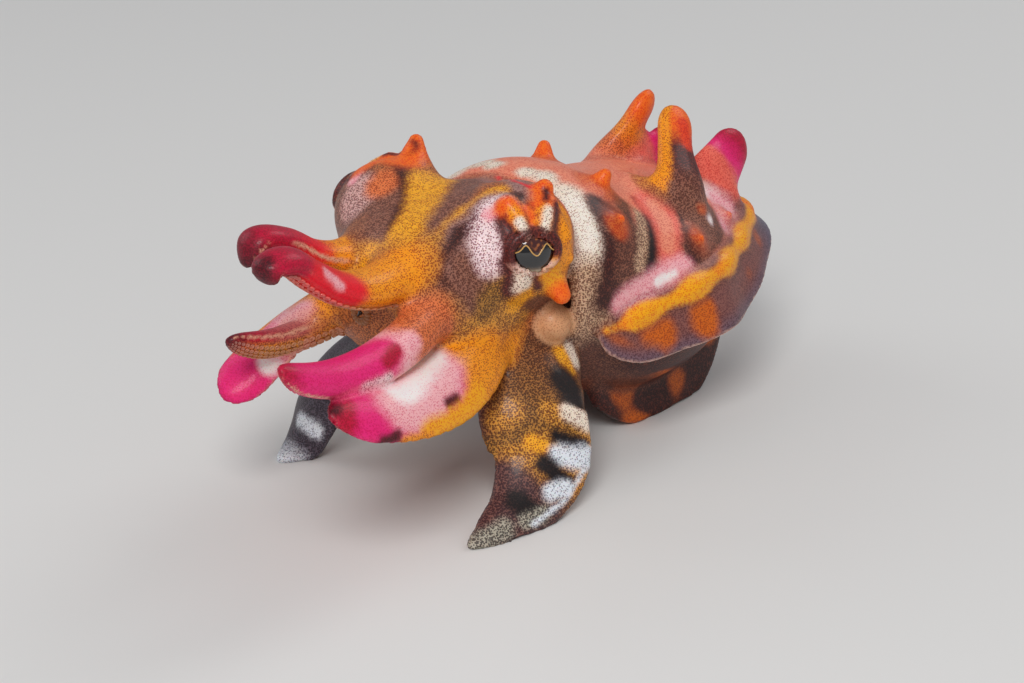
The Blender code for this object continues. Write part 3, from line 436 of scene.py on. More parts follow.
def back_flap(root, tip, width, thick):
    foot, out = standing_on_mantle(*root)
    tip = np.array(tip)
    path = [foot - out * 3.0, foot + out * 1.6, (foot + tip) / 2 + out * 0.4, tip]
    look = (-0.45, np.sign(tip[1]), 0.1)
    return limb(path, width, width, thick, [look, look], pinch=1.0, round_from=0.8)


FLAPS = {name: back_flap(*sizes) for name, sizes in BACK_FLAPS.items()}


class Beads:
    """A row of balls."""

    def __init__(self, centres, radii):
        self.centres, self.radii = np.asarray(centres, float), np.asarray(radii, float)
        reach = self.radii.max() + BEAD_MARGIN
        self.box = self.centres.min(0) - reach, self.centres.max(0) + reach

    def distance(self, points):
        found = np.full(len(points), FAR)
        near = np.all((points > self.box[0]) & (points < self.box[1]), axis=-1)
        if near.any():
            apart = points[near][:, None] - self.centres
            found[near] = (np.sqrt(np.square(apart).sum(-1)) - self.radii).min(1)
        return found


# A profile gives, for shares of a papilla's height, its half-width as a share of the foot's.
PEAKED = ((0.0, 1.0), (0.3, 0.68), (0.6, 0.46), (1.0, 0.26))
KNOBBED = ((0.0, 1.0), (0.25, 0.72), (0.55, 0.56), (1.0, 0.5))
FOLDED = ((0.0, 1.0), (0.5, 0.7), (1.0, 0.38))
BROAD = ((0.0, 1.0), (0.4, 0.68), (0.7, 0.4), (1.0, 0.19))
PAPILLA_BEADS = 14


def papilla(root, tip, foot, profile=PEAKED):
    """Beads from inside the body to the tip."""
    root, tip = np.array(root, float), np.array(tip, float)
    share = np.linspace(0, 1, PAPILLA_BEADS)
    radii = foot * np.interp(share, *zip(*profile))
    sunk = unit(tip - root) * foot * 0.8
    top = tip - unit(tip - root) * radii[-1]
    return Beads(root - sunk + share[:, None] * (top - root + sunk), radii)


MANTLE_CONES = (  # x and y where they stand, height, foot half-width
    ((25.6, 4.2), 3.2, 3.6),
    ((21.6, -8.6), 2.6, 3.4),
    ((18.8, -14.0), 1.2, 2.6),
    ((18.8, 14.0), 1.2, 2.6),
    ((33.5, -16.6), 1.1, 2.0),
    ((33.5, 16.6), 1.1, 2.0),
    ((46.0, -12.4), 1.0, 1.6),
    ((46.0, 12.4), 1.0, 1.6),
)
CONES = []
for place, height, foot in MANTLE_CONES:
    stand, out = standing_on_mantle(*place)
    CONES.append(papilla(stand, stand + out * height, foot))
EYE_PAPILLAE = {
    "over_left": papilla((4.6, -10.6, 37.4), (6.0, -12.8, 42.4), 2.3, KNOBBED),
    "over_right": papilla((4.2, 9.2, 39.4), (6.4, 10.2, 44.6), 5.2, BROAD),
    "under_left": papilla((4.6, -12.6, 31.6), (5.4, -16.4, 26.8), 3.2, FOLDED),
    "under_right": papilla((1.6, 13.2, 32.0), (0.4, 17.0, 27.6), 3.2, FOLDED),
}


def seen_on(form, pixels):
    """Where the rays through pixels of the photograph meet a form, by stepping along them."""
    rays = np.array([pixel_ray(*pixel) for pixel in pixels])
    reach = np.full(len(rays), VIEW_FAR - 60.0)
    for _ in range(90):
        reach = reach + 0.8 * form(CAMERA_POINT + rays * reach[:, None])
    return CAMERA_POINT + rays * reach[:, None]


def eye_axes(side):
    aim = eye_centre(side)[1]
    across = unit(np.cross(aim, (0.0, 0.0, 1.0)))
    return np.stack([aim, across if side == "left" else -across, np.cross(across, aim)])


def over_to_far_eye(points):
    local = (points - eye_centre("left")[0]) @ eye_axes("left").T
    return local @ eye_axes("right") + eye_centre("right")[0]


NEAR_EYE_FOLDS = (  # pixels along the crest of each fold, its half-widths, and how far it stands out
    (((508, 204), (516, 214), (528, 236)), (1.6, 1.2, 0.8), (1.2, 0.8, 0.45)),
    (((549, 204), (547, 220), (543, 238)), (1.3, 1.1, 0.8), (1.1, 0.9, 0.5)),
    (((558, 214), (568, 236), (570, 258), (565, 284)), (0.6, 0.6, 0.6, 0.6), (0.35, 0.4, 0.4, 0.3)),
    (((524, 272), (520, 286), (514, 298)), (1.0, 1.1, 0.8), (0.3, 0.35, 0.1)),
)
FOLD_BEADS = 16


def fold(pixels, wide, proud):
    at = np.linspace(0, 1, FOLD_BEADS)
    crest = curve_through(seen_on(head_ball, pixels), at)
    wide, proud = curve_through(wide, at), curve_through(proud, at)
    return Beads(crest + surface_normal(head_ball, crest) * (proud - wide), wide[:, 0])


FOLDS = [fold(*sizes) for sizes in NEAR_EYE_FOLDS]
FOLDS += [Beads(over_to_far_eye(one.centres), one.radii) for one in FOLDS[1:]]
COLLAR_LOBES = {"left": Beads([(8.2, -11.6, 22.4)], [2.7]), "right": Beads([(6.6, 12.4, 22.4)], [2.7])}
print("flaps", len(FLAPS), "cones", len(CONES))
print("papillae at the eyes", len(EYE_PAPILLAE), "folds", len(FOLDS))

# %% [markdown]
# ## Eyelids
# A lid is a soft ring round the opening, heavier above. It is a ring of beads as well, and the eyeball's
# own place is cut out of the skin, so the ball sits in its socket with the ring lying over its edge.

# %% Lids
LID_WIDE, LID_TALL = 3.2, 2.4
LID_THICK, LID_HEAVY = 0.66, 0.4  # the upper lid is thicker by the second, as a share
LID_OUT = 3.1  # from the middle of the ball
SOCKET_FRONT = 2.9  # behind this the skin isn't opened for the ball, because it is thin there
LID_BEADS = 48


def lid(side):
    centre, aim = eye_centre(side)
    across = unit(np.cross(aim, (0.0, 0.0, 1.0)))
    upward = np.cross(across, aim)
    turn = np.linspace(0, 2 * math.pi, LID_BEADS, endpoint=False)[:, None]
    ring = centre + aim * LID_OUT + across * LID_WIDE * np.cos(turn) + upward * LID_TALL * np.sin(turn)
    return Beads(ring, LID_THICK * (1 + LID_HEAVY * np.maximum(np.sin(turn[:, 0]), 0)))


LIDS = {side: lid(side) for side in EYE_BULGES}

# %% [markdown]
# ## Fins, walking ridges and funnel
# The fin hangs from a thick crest along the mantle's side. The two ridges under the mantle are what it
# stands on besides the fourth arms. They reach a little below the floor, where the whole skin is cut off
# flat. The funnel is a short tube under the head.

# %% Fins, ridges and funnel
FIN_LEVEL = [21.2, 24.4, 26.0, 25.6]  # height at which its root is looked for, from the front to the tail
FIN_START_X, FIN_END_X, FIN_START_Y, FIN_TAIL_GAP = 12.5, 59.0, 17.2, 1.2
FIN_WIDTHS = [6.4, 7.4, 8.2, 8.0, 7.0, 6.0, 5.0]
FIN_LOBES = (0.09, 0.06)  # stretch over which its two ends are rounded, as a share of its length
FIN_DROOP = [0.90, 0.86, 0.84, 0.82, 0.74, 0.6, 0.5]  # how far it hangs, as a share of the bend below
FIN_BEND = 0.86 * math.pi / 2
FIN_THICK, FIN_EDGE = 0.85, 0.5  # half-thickness at the root and at the free edge
FIN_WAVES, FIN_WAVE_HEIGHT = 3.5, 0.5
FIN_SUNK = 1.2
CREST_RADIUS, CREST_SWELL, CREST_LUMPS = 1.15, 0.32, 5
DOWN = np.array((0.0, 0.0, -1.0))


def fin(side):
    """The membrane, and the lumpy crest that it hangs from."""
    at = np.linspace(0, 1, STATIONS)
    end = math.atan2(FIN_TAIL_GAP, FIN_END_X - MANTLE_HEART[0])
    start = math.atan2(FIN_START_Y, FIN_START_X - MANTLE_HEART[0])
    angle = start + (end - start) * at
    rise = (curve_through(FIN_LEVEL, at)[:, 0] - MANTLE_HEART[2]) / MANTLE_BLOBS[1][1][1]
    root = surface_point(mantle_bag, MANTLE_HEART, np.stack([np.cos(angle), side * np.sin(angle), rise], -1))
    out = unit(surface_normal(mantle_bag, root) * (1, 1, 0))
    ends = np.clip(np.minimum(at / FIN_LOBES[0], (1 - at) / FIN_LOBES[1]), 0, 1)
    width = curve_through(FIN_WIDTHS, at)[:, 0] * np.maximum(np.sqrt(1 - (1 - ends) ** 2), 0.25)
    bend = (FIN_BEND * curve_through(FIN_DROOP, at)[:, 0])[:, None]
    wave = (FIN_WAVE_HEIGHT * np.sin(2 * math.pi * FIN_WAVES * at))[:, None]
    across = unit((out * np.cos(bend) + DOWN * np.sin(bend)) * width[:, None] + out * wave)
    half = (width + FIN_SUNK) / 2
    middle = root + across * (width / 2 - FIN_SUNK / 2)[:, None]
    along = unit(np.gradient(middle, axis=0))
    face = unit(np.cross(along, across)) * side
    thick = np.full(STATIONS, FIN_THICK)
    sheet = Ribbon(middle, across, face, half, half, thick, edge_thick=FIN_EDGE)
    lumps = CREST_RADIUS + CREST_SWELL * np.sin(2 * math.pi * CREST_LUMPS * at + side)
    crest = Beads(root + across * 0.5, lumps * np.clip(ends * 1.4, 0.4, 1))
    return sheet, crest


FOOT_Y, FOOT_START_X, FOOT_END_X = 8.2, 21.0, 51.0
FOOT_THICK, FOOT_SPLAY, FOOT_BOW, FOOT_ROOT, FOOT_SUNK = 1.7, 1.6, 0.8, 2.2, 0.6
FOOT_ROUND, FOOT_FLAT = 0.6, 1.12  # how its lower edge falls and lies flat
FOOT_END_RISE = 3.0  # how steeply the edge rises past its two ends


class Curtain:
    """An upright sheet under the belly: for every x its lower edge, and how far it leans out there."""

    def __init__(self, side):
        x = np.linspace(FOOT_START_X, FOOT_END_X, STATIONS)
        share = (x - FOOT_START_X) / (FOOT_END_X - FOOT_START_X)
        bow = np.sin(math.pi * share).clip(0) ** FOOT_ROUND
        self.x, self.root_y = x, side * (FOOT_Y + FOOT_BOW * np.sin(math.pi * share))
        start = np.stack([x, self.root_y, np.full(STATIONS, MANTLE_HEART[2])], -1)
        self.belly = surface_point(mantle_bag, start, DOWN)[:, 2]
        floor = (x - PITCH_X) * math.tan(BODY_PITCH) - FOOT_SUNK
        self.low = self.belly + (floor - self.belly) * np.minimum(bow * FOOT_FLAT, 1.0)
        self.lean = side * FOOT_SPLAY * bow
        self.length = FOOT_END_X - FOOT_START_X

    def distance(self, points):
        x, y, z = points.T
        reach = np.clip(x, self.x[0], self.x[-1])
        row = lambda values: np.interp(reach, self.x, values)
        belly, low = row(self.belly), row(self.low) + FOOT_END_RISE * np.abs(x - reach)
        steep = np.abs(row(np.gradient(self.low, self.x)))
        hang = np.clip((belly - z) / np.maximum(belly - low, 1.0), 0, 1)
        across = np.abs(y - row(self.root_y) - row(self.lean) * hang)
        half = FOOT_THICK / 2
        below = (low + half - z) / np.sqrt(1 + steep**2)
        above = z - belly - FOOT_ROOT
        return np.maximum(np.hypot(np.maximum(below, 0), across) - half, above)


FINS, CRESTS = zip(*(fin(side) for side in (-1, 1)))
RIDGES = [Curtain(side) for side in (-1, 1)]
FUNNEL = limb(
    path=[(11.5, 0, 19.5), (6.5, 0, 17.4), (1.5, 0, 16.0), (-3.0, 0, 15.4)],
    width=[5.6, 4.6, 3.4, 2.6], keel=[5.6, 4.6, 3.4, 2.6], thick=[3.8, 3.3, 2.6, 2.1],
    face=[(0, 0, -1), (0, 0, -1)], pinch=1.0, round_from=1.0)
BORE = Beads([(-3.4 + 0.4 * k, 0, 15.42 + 0.05 * k) for k in range(8)], [1.4 - 0.07 * k for k in range(8)])
print("fin", round(FINS[0].length, 1), "mm long, ridge", round(RIDGES[0].length, 1), "mm long")

# %% [markdown]
# ## The whole animal as one field
# Now the forms are put together in the order in which they grow: flaps and papillae on the mantle, arms and
# lids on the head, then fins and ridges. The arms blend widely at their roots and hardly at all at their
# tips, so that two arms that pass close to one another stay two.

# %% One field for all flesh
CONE_BLEND, FIN_BLEND, CREST_BLEND, RIDGE_BLEND = 1.4, 1.0, 0.8, 1.6  # fillets on the mantle
COLLAR_BLEND, HOLLOW_BLEND = 0.9, 0.6
PAPILLA_BLEND, FOLD_BLEND, LOBE_BLEND, LID_BLEND = 1.2, 0.9, 1.0, 0.6  # fillets on the head
NECK_BLEND, FUNNEL_BLEND, BORE_BLEND = 0.5, 0.8, 0.4
SOCKET_GAP, SOCKET_BLEND = 0.06, 0.25  # between the ball and the skin round it, and the opening's soft edge


def mantle_form(points):
    raw = mantle_bag(points)
    form = raw
    for flap in FLAPS.values():
        form = smooth_union(form, flap.distance(points), FLAP_BLEND)
    for cone in CONES:
        form = smooth_union(form, cone.distance(points), CONE_BLEND)
    for sheet, crest in zip(FINS, CRESTS):
        form = smooth_union(form, sheet.distance(points), FIN_BLEND)
        form = smooth_union(form, crest.distance(points), CREST_BLEND)
    for ridge in RIDGES:
        form = smooth_union(form, ridge.distance(points), RIDGE_BLEND)
    behind = behind_collar(points)
    form = smooth_cut(form, behind, COLLAR_BLEND)
    hollow = np.maximum(raw + COLLAR_WALL, behind - COLLAR_DEEP)
    return smooth_cut(form, hollow, HOLLOW_BLEND)


def head_form(points):
    form = head_ball(points)
    for arm in ARMS.values():
        near = arm.near(points)
        if near.any():
            at = arm.local(points[near])[0]
            blend = TIP_BLEND + (ROOT_BLEND - TIP_BLEND) * (1 - smooth_step(at, 0.15, 0.5))
            form[near] = smooth_union(form[near], arm.distance(points[near]), blend)
    for bump in EYE_PAPILLAE.values():
        form = smooth_union(form, bump.distance(points), PAPILLA_BLEND)
    for crease in FOLDS:
        form = smooth_union(form, crease.distance(points), FOLD_BLEND)
    for lobe in COLLAR_LOBES.values():
        form = smooth_union(form, lobe.distance(points), LOBE_BLEND)
    for ring in LIDS.values():
        form = smooth_union(form, ring.distance(points), LID_BLEND)
    return form


def flesh(points):
    form = smooth_union(head_form(points), mantle_form(points), NECK_BLEND)
    funnel = smooth_cut(FUNNEL.distance(points), BORE.distance(points), BORE_BLEND)
    form = smooth_union(form, funnel, FUNNEL_BLEND)
    for side in EYE_BULGES:
        centre, aim = eye_centre(side)
        socket = ellipsoid(points, centre, (EYE_RADIUS + SOCKET_GAP,) * 3)
        form = smooth_cut(form, np.maximum(socket, SOCKET_FRONT - (points - centre) @ aim), SOCKET_BLEND)
    return np.maximum(form, -above_floor(points))

# %% [markdown]
# ## From the field to one skin
# The field is read on a grid. Wherever two neighbouring grid points lie on different sides of the surface,
# the skin crosses the edge between them. Each grid cell that is crossed gets one corner, at the middle of
# its crossings, and each crossed edge gets one four-sided face. Then every corner is moved on to the exact
# surface, and between the moves the corners are evened out. Round the eyes each face is divided into four,
# for crisper lids.

# %% Surface of the field
GRID_STEP = 0.47
FIELD_LOW, FIELD_HIGH = (-48.0, -27.0, -5.5), (63.0, 27.0, 48.0)  # the box that the grid fills


def field_on_grid(low, shape, step):
    """The field on a grid, worked out only near the surface. A coarser grid says where that is."""
    coarse = 4
    counts = [n // coarse + 2 for n in shape]
    corners = np.stack(np.meshgrid(*[low[a] + coarse * step * np.arange(counts[a]) for a in range(3)],
                                   indexing="ij"), -1)
    rough = flesh(corners.reshape(-1, 3)).reshape(counts)
    close = np.abs(rough) < coarse * step * 1.8 + 1.2
    values = np.empty(shape, np.float32)
    index = np.stack(np.meshgrid(*[np.arange(n) for n in shape], indexing="ij"), -1).reshape(-1, 3)
    block = (index + coarse // 2) // coarse
    wanted = close[tuple(block.T)]
    flat = rough[tuple(block.T)].astype(np.float32)
    chosen = index[wanted]
    for part in np.array_split(np.arange(len(chosen)), max(1, len(chosen) // 300000)):
        flat[np.flatnonzero(wanted)[part]] = flesh(low + chosen[part] * step)
    values[tuple(index.T)] = flat
    return values


def net_surface(values, low, step):
    """Corners and four-sided faces of the surface where the values change sign."""
    shape = np.array(values.shape)
    cells = shape - 1
    number = lambda ijk: (ijk[..., 0] * cells[1] + ijk[..., 1]) * cells[2] + ijk[..., 2]
    total, count, quads = np.zeros((cells.prod(), 3)), np.zeros(cells.prod()), []
    for axis in range(3):
        here = np.take(values, range(shape[axis] - 1), axis)
        there = np.take(values, range(1, shape[axis]), axis)
        edge = np.stack(np.nonzero((here < 0) != (there < 0)), -1)
        a, b = (axis + 1) % 3, (axis + 2) % 3
        inner = (edge[:, a] > 0) & (edge[:, b] > 0) & (edge[:, a] < cells[a]) & (edge[:, b] < cells[b])
        edge = edge[inner]
        first, second = here[tuple(edge.T)], there[tuple(edge.T)]
        cross = edge.astype(float)
        cross[:, axis] += first / (first - second)
        around = []
        for da, db in ((0, 0), (-1, 0), (-1, -1), (0, -1)):
            cell = edge.copy()
            cell[:, a] += da
            cell[:, b] += db
            around.append(number(cell))
            np.add.at(total, around[-1], cross)
            np.add.at(count, around[-1], 1)
        quad = np.stack(around, -1)
        quads.append(np.where((first < 0)[:, None], quad, quad[:, ::-1]))
    quads = np.concatenate(quads)
    used = np.flatnonzero(count)
    order = np.zeros(len(count), int)
    order[used] = np.arange(len(used))
    return low + total[used] / count[used, None] * step, order[quads]


def slope_of(points, step=0.04):
    here = flesh(points)
    return here, np.stack([(flesh(points + step * axis) - here) / step for axis in np.eye(3)], -1)


def on_surface(points, rounds=2, most=0.25):
    for _ in range(rounds):
        value, slope = slope_of(points)
        move = -value[:, None] * slope / np.maximum(np.square(slope).sum(-1, keepdims=True), 0.3)
        size = np.linalg.norm(move, axis=1, keepdims=True)
        points = points + move * np.minimum(1, most / np.maximum(size, 1e-9))
    return points


EVEN_ROUNDS, EVEN_SHARE = 3, 0.5
EYE_FINE_REACH = 6.0  # round each eye the mesh is twice as fine


def evened(points, faces):
    """Each corner moved part of the way to the middle of its neighbours."""
    total, count = np.zeros_like(points), np.zeros(len(points))
    for here, there in ((0, 1), (1, 2), (2, 3), (3, 0)):
        for a, b in ((here, there), (there, here)):
            np.add.at(total, faces[:, a], points[faces[:, b]])
            np.add.at(count, faces[:, a], 1)
    return points + EVEN_SHARE * (total / count[:, None] - points)


def make_surface():
    low = np.array(FIELD_LOW)
    shape = tuple(int(n) for n in np.ceil((np.array(FIELD_HIGH) - low) / GRID_STEP))
    corners, faces = net_surface(field_on_grid(low, shape, GRID_STEP), low, GRID_STEP)
    corners = on_surface(corners, rounds=1)
    for _ in range(EVEN_ROUNDS):
        corners = on_surface(evened(corners, faces), rounds=1)
    return on_surface(corners, rounds=1), faces


def finer_near(corners, faces, centres, reach):
    """Each face near one of the centres in four. Its neighbours gain a corner on each edge they share."""
    middle = corners[faces].mean(1)
    near = np.min([np.linalg.norm(middle - centre, axis=1) for centre in centres], 0) < reach
    split, known = faces[near], len(corners)
    edges = np.sort(np.stack((split, np.roll(split, -1, 1)), -1), -1).reshape(-1, 2)
    pairs, place = np.unique(edges, axis=0, return_inverse=True)
    half = known + place.reshape(-1, 4)
    heart = known + len(pairs) + np.arange(len(split))
    added = on_surface(np.concatenate((corners[pairs].mean(1), corners[split].mean(1))), rounds=2)
    quarters = [np.stack((split[:, k], half[:, k], heart, half[:, k - 1]), -1) for k in range(4)]
    halves = {tuple(pair): known + at for at, pair in enumerate(pairs.tolist())}
    rings = []
    for face in faces[~near].tolist():
        steps = zip(face, face[1:] + face[:1])
        rings.append([c for a, b in steps for c in (a, halves.get((min(a, b), max(a, b)))) if c is not None])
    return np.concatenate((corners, added)), np.concatenate(quarters).tolist() + rings


corners, faces = make_surface()
corners, fine_faces = finer_near(corners, faces, [eye_centre(side)[0] for side in EYE_BULGES], EYE_FINE_REACH)
triangles = sum(len(face) - 2 for face in fine_faces)
print("skin corners", len(corners), "faces", len(fine_faces), "triangles", triangles)


def new_mesh_object(name, points, faces):
    mesh = bpy.data.meshes.new(name)
    mesh.from_pydata(np.asarray(points).tolist(), [], [list(face) for face in faces])
    mesh.validate()
    mesh.shade_smooth()
    made = bpy.data.objects.new(name, mesh)
    bpy.context.scene.collection.objects.link(made)
    return made


skin = new_mesh_object("skin", to_frame(corners), fine_faces)
FLESH = [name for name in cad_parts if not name.startswith("eye_")]
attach(skin, "root")
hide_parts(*FLESH)

# %% [markdown]
# ## Which part each corner belongs to
# The markings need to know what they lie on. Every corner of the skin is measured against each form again,
# and the nearest form owns it, with a soft hand-over of about a millimetre where two forms meet.

# %% Parts of the skin
PART_SOFT = 1.2


def part_weights(points):
    distances = {"head": head_ball(points), "mantle": mantle_bag(points), "funnel": FUNNEL.distance(points)}
    distances.update({name: arm.distance(points) for name, arm in ARMS.items()})
    distances.update({"flap_" + name: flap.distance(points) for name, flap in FLAPS.items()})
    for side, sheet, crest, ridge in zip(("left", "right"), FINS, CRESTS, RIDGES):
        distances["fin_" + side] = sheet.distance(points)
        distances["crest_" + side] = crest.distance(points) - 0.3
        distances["ridge_" + side] = ridge.distance(points)
    distances["cones"] = np.min([cone.distance(points) for cone in CONES], axis=0) - 0.2
    distances["mantle"] = np.where(behind_collar(points) < -0.4, FAR, distances["mantle"])
    names = list(distances)
    table = np.stack([distances[name] for name in names])
    least = table.min(0)
    share = np.clip(1 - (table - least) / PART_SOFT, 0, 1)
    share /= share.sum(0)
    return dict(zip(names, share))


WEIGHT = part_weights(corners)
NORMALS = unit(slope_of(corners)[1])
WEIGHT["near_body"] = WEIGHT["mantle"] + WEIGHT["head"]
print({name: int(share.sum()) for name, share in WEIGHT.items()})

# %% [markdown]
# ## Colours as a cuttlefish makes them
# The skin of a cuttlefish is a pale or coloured ground with thousands of tiny sacs of ink over it, and it
# shows a pattern by opening and closing them. So a paint here is three things: a ground, an ink, and how
# much of the ground the ink covers. They are kept at the corners of the skin, and the material draws the
# single dots.

# %% Paints
PAINTS = {  # ground, ink and how much the ink covers
    "umber": ((142, 84, 62), (62, 22, 16), 0.66),
    "dark": ((106, 48, 36), (38, 11, 10), 0.82),
    "plum": ((120, 44, 36), (54, 14, 14), 0.75),
    "sienna": ((206, 118, 60), (100, 38, 16), 0.52),
    "bronze": ((228, 158, 60), (96, 36, 14), 0.56),
    "rust": ((232, 124, 70), (150, 56, 26), 0.4),
    "amber": ((255, 158, 22), (176, 62, 4), 0.3),
    "gold": ((255, 178, 36), (168, 74, 10), 0.34),
    "yellow": ((255, 176, 14), (236, 104, 4), 0.32),
    "flame": ((255, 116, 24), (236, 62, 6), 0.35),
    "cream": ((250, 232, 212), (128, 72, 54), 0.26),
    "dotted": ((216, 176, 142), (96, 44, 28), 0.55),
    "blush": ((255, 228, 228), (134, 34, 58), 0.36),
    "bulge": ((222, 172, 164), (112, 50, 48), 0.46),
    "ivory": ((255, 244, 230), (176, 120, 96), 0.22),
    "white": ((255, 246, 242), (250, 190, 200), 0.1),
    "pink": ((255, 186, 190), (232, 110, 130), 0.3),
    "salmon": ((248, 150, 118), (222, 96, 74), 0.35),
    "coral": ((246, 112, 92), (216, 62, 54), 0.4),
    "rose": ((206, 108, 104), (164, 62, 72), 0.4),
    "magenta": ((240, 34, 122), (222, 12, 96), 0.4),
    "crimson": ((196, 8, 56), (160, 2, 40), 0.5),
    "scarlet": ((244, 22, 44), (224, 8, 30), 0.4),
    "ember_red": ((240, 70, 24), (208, 34, 12), 0.4),
    "foot": ((184, 176, 158), (44, 28, 30), 0.58),
    "maroon": ((108, 10, 30), (62, 2, 14), 0.6),
    "tan": ((186, 126, 90), (108, 54, 36), 0.45),
    "lilac": ((172, 130, 122), (110, 66, 62), 0.4),
    "mauve": ((158, 104, 84), (84, 40, 32), 0.55),
    "olive": ((184, 126, 50), (66, 32, 12), 0.62),
    "honey": ((240, 160, 50), (116, 52, 14), 0.46),
    "dusk": ((128, 84, 76), (46, 22, 32), 0.72),
    "lobe": ((232, 172, 124), (206, 138, 92), 0.2),
    "slate": ((92, 80, 92), (38, 28, 38), 0.65),
    "frost": ((236, 240, 246), (120, 116, 132), 0.24),
    "black": ((40, 22, 20), (14, 7, 9), 0.8),
    "veil": ((140, 86, 78), (96, 48, 48), 0.45),
    "haze": ((104, 92, 112), (64, 50, 66), 0.4),
    "ember": ((214, 104, 22), (160, 60, 10), 0.4),
    "pearl": ((230, 186, 170), (186, 120, 108), 0.2),
    "lip": ((236, 182, 154), (184, 108, 84), 0.25),
}


def linear(colour):
    """From the 0 to 255 of a picture to the light values that a shader takes."""
    share = np.asarray(colour, float) / 255
    return np.where(share <= 0.04045, share / 12.92, ((share + 0.055) / 1.055) ** 2.4)


def ripple(points, size, seed, waves=7):
    """A soft random pattern from -1 to 1 with features of about that size."""
    draw = np.random.default_rng(seed)
    ways = unit(draw.normal(size=(waves, 3))) * draw.uniform(0.7, 1.5, (waves, 1)) * 2 * math.pi / size / 1.6
    return np.sin(points @ ways.T + draw.uniform(0, 2 * math.pi, waves)).mean(1) * 1.6


count = len(corners)
GROUND, INK, COVER = np.zeros((count, 3)), np.zeros((count, 3)), np.zeros(count)
FRAY = 0.5 * ripple(corners, 2.2, 11) + 0.5 * ripple(corners, 0.9, 12)


def paint(name, mask):
    ground, ink, cover = PAINTS[name]
    mask = np.clip(mask, 0, 1)
    GROUND[:] += (linear(ground) - GROUND) * mask[:, None]
    INK[:] += (linear(ink) - INK) * mask[:, None]
    COVER[:] += (cover - COVER) * mask


def weight_of(parts):
    return sum(WEIGHT[name] for name in parts.split())


def along_limb(ribbon):
    """Share of the way to the tip, and places across and out of the face from -1 to 1, for every corner."""
    at, u, v = np.zeros(count), np.zeros(count), np.zeros(count)
    near = ribbon.near(corners)
    place, wide, out, _, (low, keel, thick) = ribbon.local(corners[near])
    at[near], u[near], v[near] = place, wide / np.where(wide > 0, keel, low), out / thick
    return at, u, v


# %% [markdown]
# ## Ground colours, part by part
# First every part gets its own broad colours from simple rules that hold on both sides of the animal: pink
# along the back, brown flanks, arms that turn from orange at the root to crimson at the tip, and pale
# sucker sides.

# %% Broad colours
BELLY = smooth_step(-NORMALS[:, 2], 0.1, 0.7)
BACK = smooth_step(NORMALS[:, 2] + 0.12 * FRAY, 0.5, 0.82)


def paint_torso():
    paint("umber", np.ones(count))
    paint("salmon", WEIGHT["mantle"] * BACK)
    paint("dark", WEIGHT["mantle"] * BELLY)
    paint("ember", WEIGHT["mantle"] * BELLY * smooth_step(ripple(corners, 7, 21), 0.15, 0.5))
    paint("sienna", WEIGHT["head"])
    paint("flame", WEIGHT["cones"])
    paint("lip", WEIGHT["funnel"])
    for ridge in ("ridge_left", "ridge_right"):
        paint("dark", WEIGHT[ridge])
        paint("ember", WEIGHT[ridge] * smooth_step(ripple(corners, 6, 22), 0.1, 0.5))
    for side in ("left", "right"):
        lobe = COLLAR_LOBES[side].distance(corners)
        paint("tan", 1 - smooth_step(lobe, 0.2, 0.9))


ARM_COLOURS = {  # share of the way to the tip, paint
    "arm_1": ((0.0, "amber"), (0.48, "amber"), (0.6, "scarlet"), (0.76, "crimson"), (1.0, "maroon")),
    "arm_2_left": ((0.0, "rust"), (0.4, "rust"), (0.5, "pink"), (0.58, "magenta"), (0.85, "magenta"),
                   (1.0, "crimson")),
    "arm_2_right": ((0.0, "honey"), (0.4, "rose"), (0.6, "rose"), (0.85, "crimson"), (1.0, "maroon")),
    "arm_3": ((0.0, "amber"), (0.42, "amber"), (0.52, "pink"), (0.7, "magenta"), (0.9, "magenta"),
              (1.0, "maroon")),
    "arm_4_left": ((0.0, "olive"), (0.5, "olive"), (0.6, "bronze"), (0.72, "dusk"), (0.9, "dusk"),
                   (1.0, "foot")),
    "arm_4_right": ((0.0, "mauve"), (0.3, "slate"), (0.8, "slate"), (1.0, "frost")),
}


def paint_arms():
    for name, arm in ARMS.items():
        stops = ARM_COLOURS.get(name) or ARM_COLOURS[name[:5]]
        at, across, out = along_limb(arm)
        at = at + 0.03 * FRAY
        own = WEIGHT[name]
        for (start, _), (end, colour) in zip(stops, stops[1:]):
            paint(colour, own * smooth_step(at, start, end))
        inner = "olive" if name.startswith("arm_4") else "honey"
        reach = (0.75, 1.0) if name == "arm_2_right" else (0.5, 0.85)
        paint(inner, own * smooth_step(out, 0.25, 0.7) * (1 - smooth_step(at, *reach)))
        if name.startswith("arm_3"):
            keel = smooth_step(across + 0.1 * FRAY, 0.62, 0.8)
            paint("amber", own * keel * (1 - smooth_step(at, 0.72, 0.85)))
        if name == "arm_4_left":
            patches = smooth_step(ripple(corners, 4.0, 24), 0.1, 0.6)
            paint("bronze", own * patches * smooth_step(at, 0.4, 0.5) * (1 - smooth_step(at, 0.6, 0.7)))
        elif name != "arm_4_right":
            # Painted rim light: a pale rim along the thin side edges of the outer half of the arms.
            edge = smooth_step(np.abs(across), 0.85, 0.95) * (1 - smooth_step(np.abs(out), 0.06, 0.2))
            paint("lip", own * edge * smooth_step(at, 0.4, 0.5))


